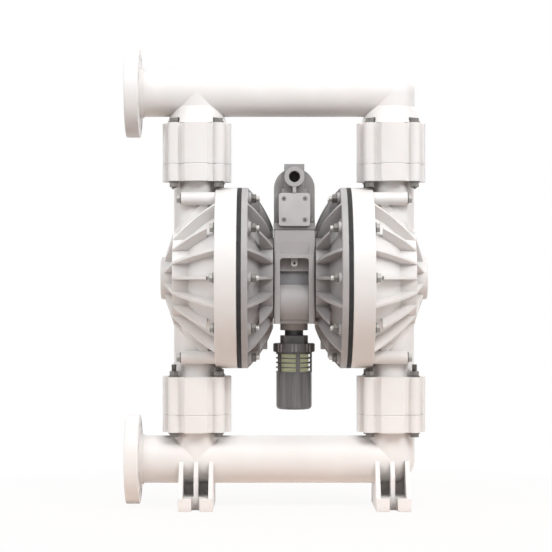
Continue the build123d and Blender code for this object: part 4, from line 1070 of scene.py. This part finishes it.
def upright_rod(radius, low, high, x=0.0, y=0.0, vertices=96):
    """Cylinder along Z between two heights."""
    bpy.ops.object.select_all(action="DESELECT")
    bpy.ops.mesh.primitive_cylinder_add(
        vertices=vertices, radius=radius, depth=high - low, location=(x, y, (low + high) / 2)
    )
    rod = bpy.context.object
    bpy.ops.object.transform_apply()
    return rod


def round_lower_rim(piece, height, width, segments):
    """Bevel the ring of edges at one height."""
    select_only(piece)
    bpy.ops.object.mode_set(mode="EDIT")
    bpy.ops.mesh.select_all(action="DESELECT")
    bpy.ops.object.mode_set(mode="OBJECT")
    for edge in piece.data.edges:
        ends = [piece.data.vertices[i].co.z for i in edge.vertices]
        edge.select = max(abs(z - height) for z in ends) < 1e-5
    bpy.ops.object.mode_set(mode="EDIT")
    bpy.ops.mesh.select_mode(type="EDGE")
    bpy.ops.mesh.bevel(offset=width, segments=segments)
    bpy.ops.object.mode_set(mode="OBJECT")


# %% Muffler cup
CUP_RADIUS = 0.0398
CUP_BOTTOM = 0.2198
CUP_TOP = 0.3023
CUP_WALL = 0.0035
CUP_ROUNDING = 0.008

cup = upright_rod(CUP_RADIUS, CUP_BOTTOM, CUP_TOP)
round_lower_rim(cup, CUP_BOTTOM, CUP_ROUNDING, 6)
hollow = upright_rod(CUP_RADIUS - CUP_WALL, CUP_BOTTOM + CUP_WALL, CUP_TOP + CUP_WALL)
cut_with(cup, hollow, "DIFFERENCE")
print("plain cup vertices:", len(cup.data.vertices))

# %% Flutes of the cup
FLUTES = 20
FLUTE_RADIUS = 0.0052
FLUTE_DEPTH = 0.0009
FLUTE_TURN = 0.4
FLUTE_BELOW_CUP = 0.001
BAND_ABOVE_FLUTES = 0.004

flute_ring = CUP_RADIUS - FLUTE_DEPTH + FLUTE_RADIUS
flutes = []
for k in range(FLUTES):
    angle = (k + FLUTE_TURN) * 2 * math.pi / FLUTES
    x, y = flute_ring * math.cos(angle), flute_ring * math.sin(angle)
    flutes.append(upright_rod(
        FLUTE_RADIUS, CUP_BOTTOM - FLUTE_BELOW_CUP, CUP_TOP - BAND_ABOVE_FLUTES, x, y, 24
    ))
cut_with(cup, join_pieces(*flutes), "DIFFERENCE")
cup.name = "muffler_fluted_cup"
finish_piece(cup, cup_plastic)
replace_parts(cup, "muffler_cup")
print("cup vertices:", len(cup.data.vertices))

# %% [markdown]
# ## Rubber diaphragms
# Each diaphragm is clamped all round between its chambers, while its middle goes to and fro with
# the shaft, so the rubber has to bend. The disc is divided into eight sectors round the shaft, each
# a closed piece of rubber. The sectors are cut by bisecting a merged copy of the solid, which keeps
# its bolt holes and its fold.

# %% Diaphragm sector
SECTORS = 8


def diaphragm_sector(node, name, angle):
    """Closed sector of a diaphragm round one direction, cut from a copy of the node's mesh."""
    piece = bpy.data.objects.new(name, nodes[node].data.copy())
    piece.data.name = name
    bpy.context.scene.collection.objects.link(piece)
    piece.data.materials.clear()
    piece.data.materials.append(rubber)
    select_only(piece)
    bpy.ops.object.mode_set(mode="EDIT")
    bpy.ops.mesh.select_all(action="SELECT")
    bpy.ops.mesh.remove_doubles(threshold=1e-6)
    for turn in (1, -1):
        cut = angle + turn * math.radians(90 + 180 / SECTORS)
        bpy.ops.mesh.select_all(action="SELECT")
        bpy.ops.mesh.bisect(
            plane_co=(0, 0, SHAFT_HEIGHT), plane_no=(0, math.cos(cut), math.sin(cut)),
            use_fill=True, clear_outer=True,
        )
    bpy.ops.mesh.select_all(action="SELECT")
    bpy.ops.mesh.normals_make_consistent(inside=False)
    bpy.ops.object.mode_set(mode="OBJECT")
    bpy.ops.object.shade_smooth_by_angle(angle=math.radians(30))
    return piece


for name, side in SIDES.items():
    for k in range(SECTORS):
        angle = k * 2 * math.pi / SECTORS
        sector = diaphragm_sector(name + "_diaphragm", f"{name}_diaphragm_sector_{k + 1}", angle)
        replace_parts(sector, name + "_diaphragm")
        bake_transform(sector)
    print(name, "diaphragm sector vertices:", len(sector.data.vertices))
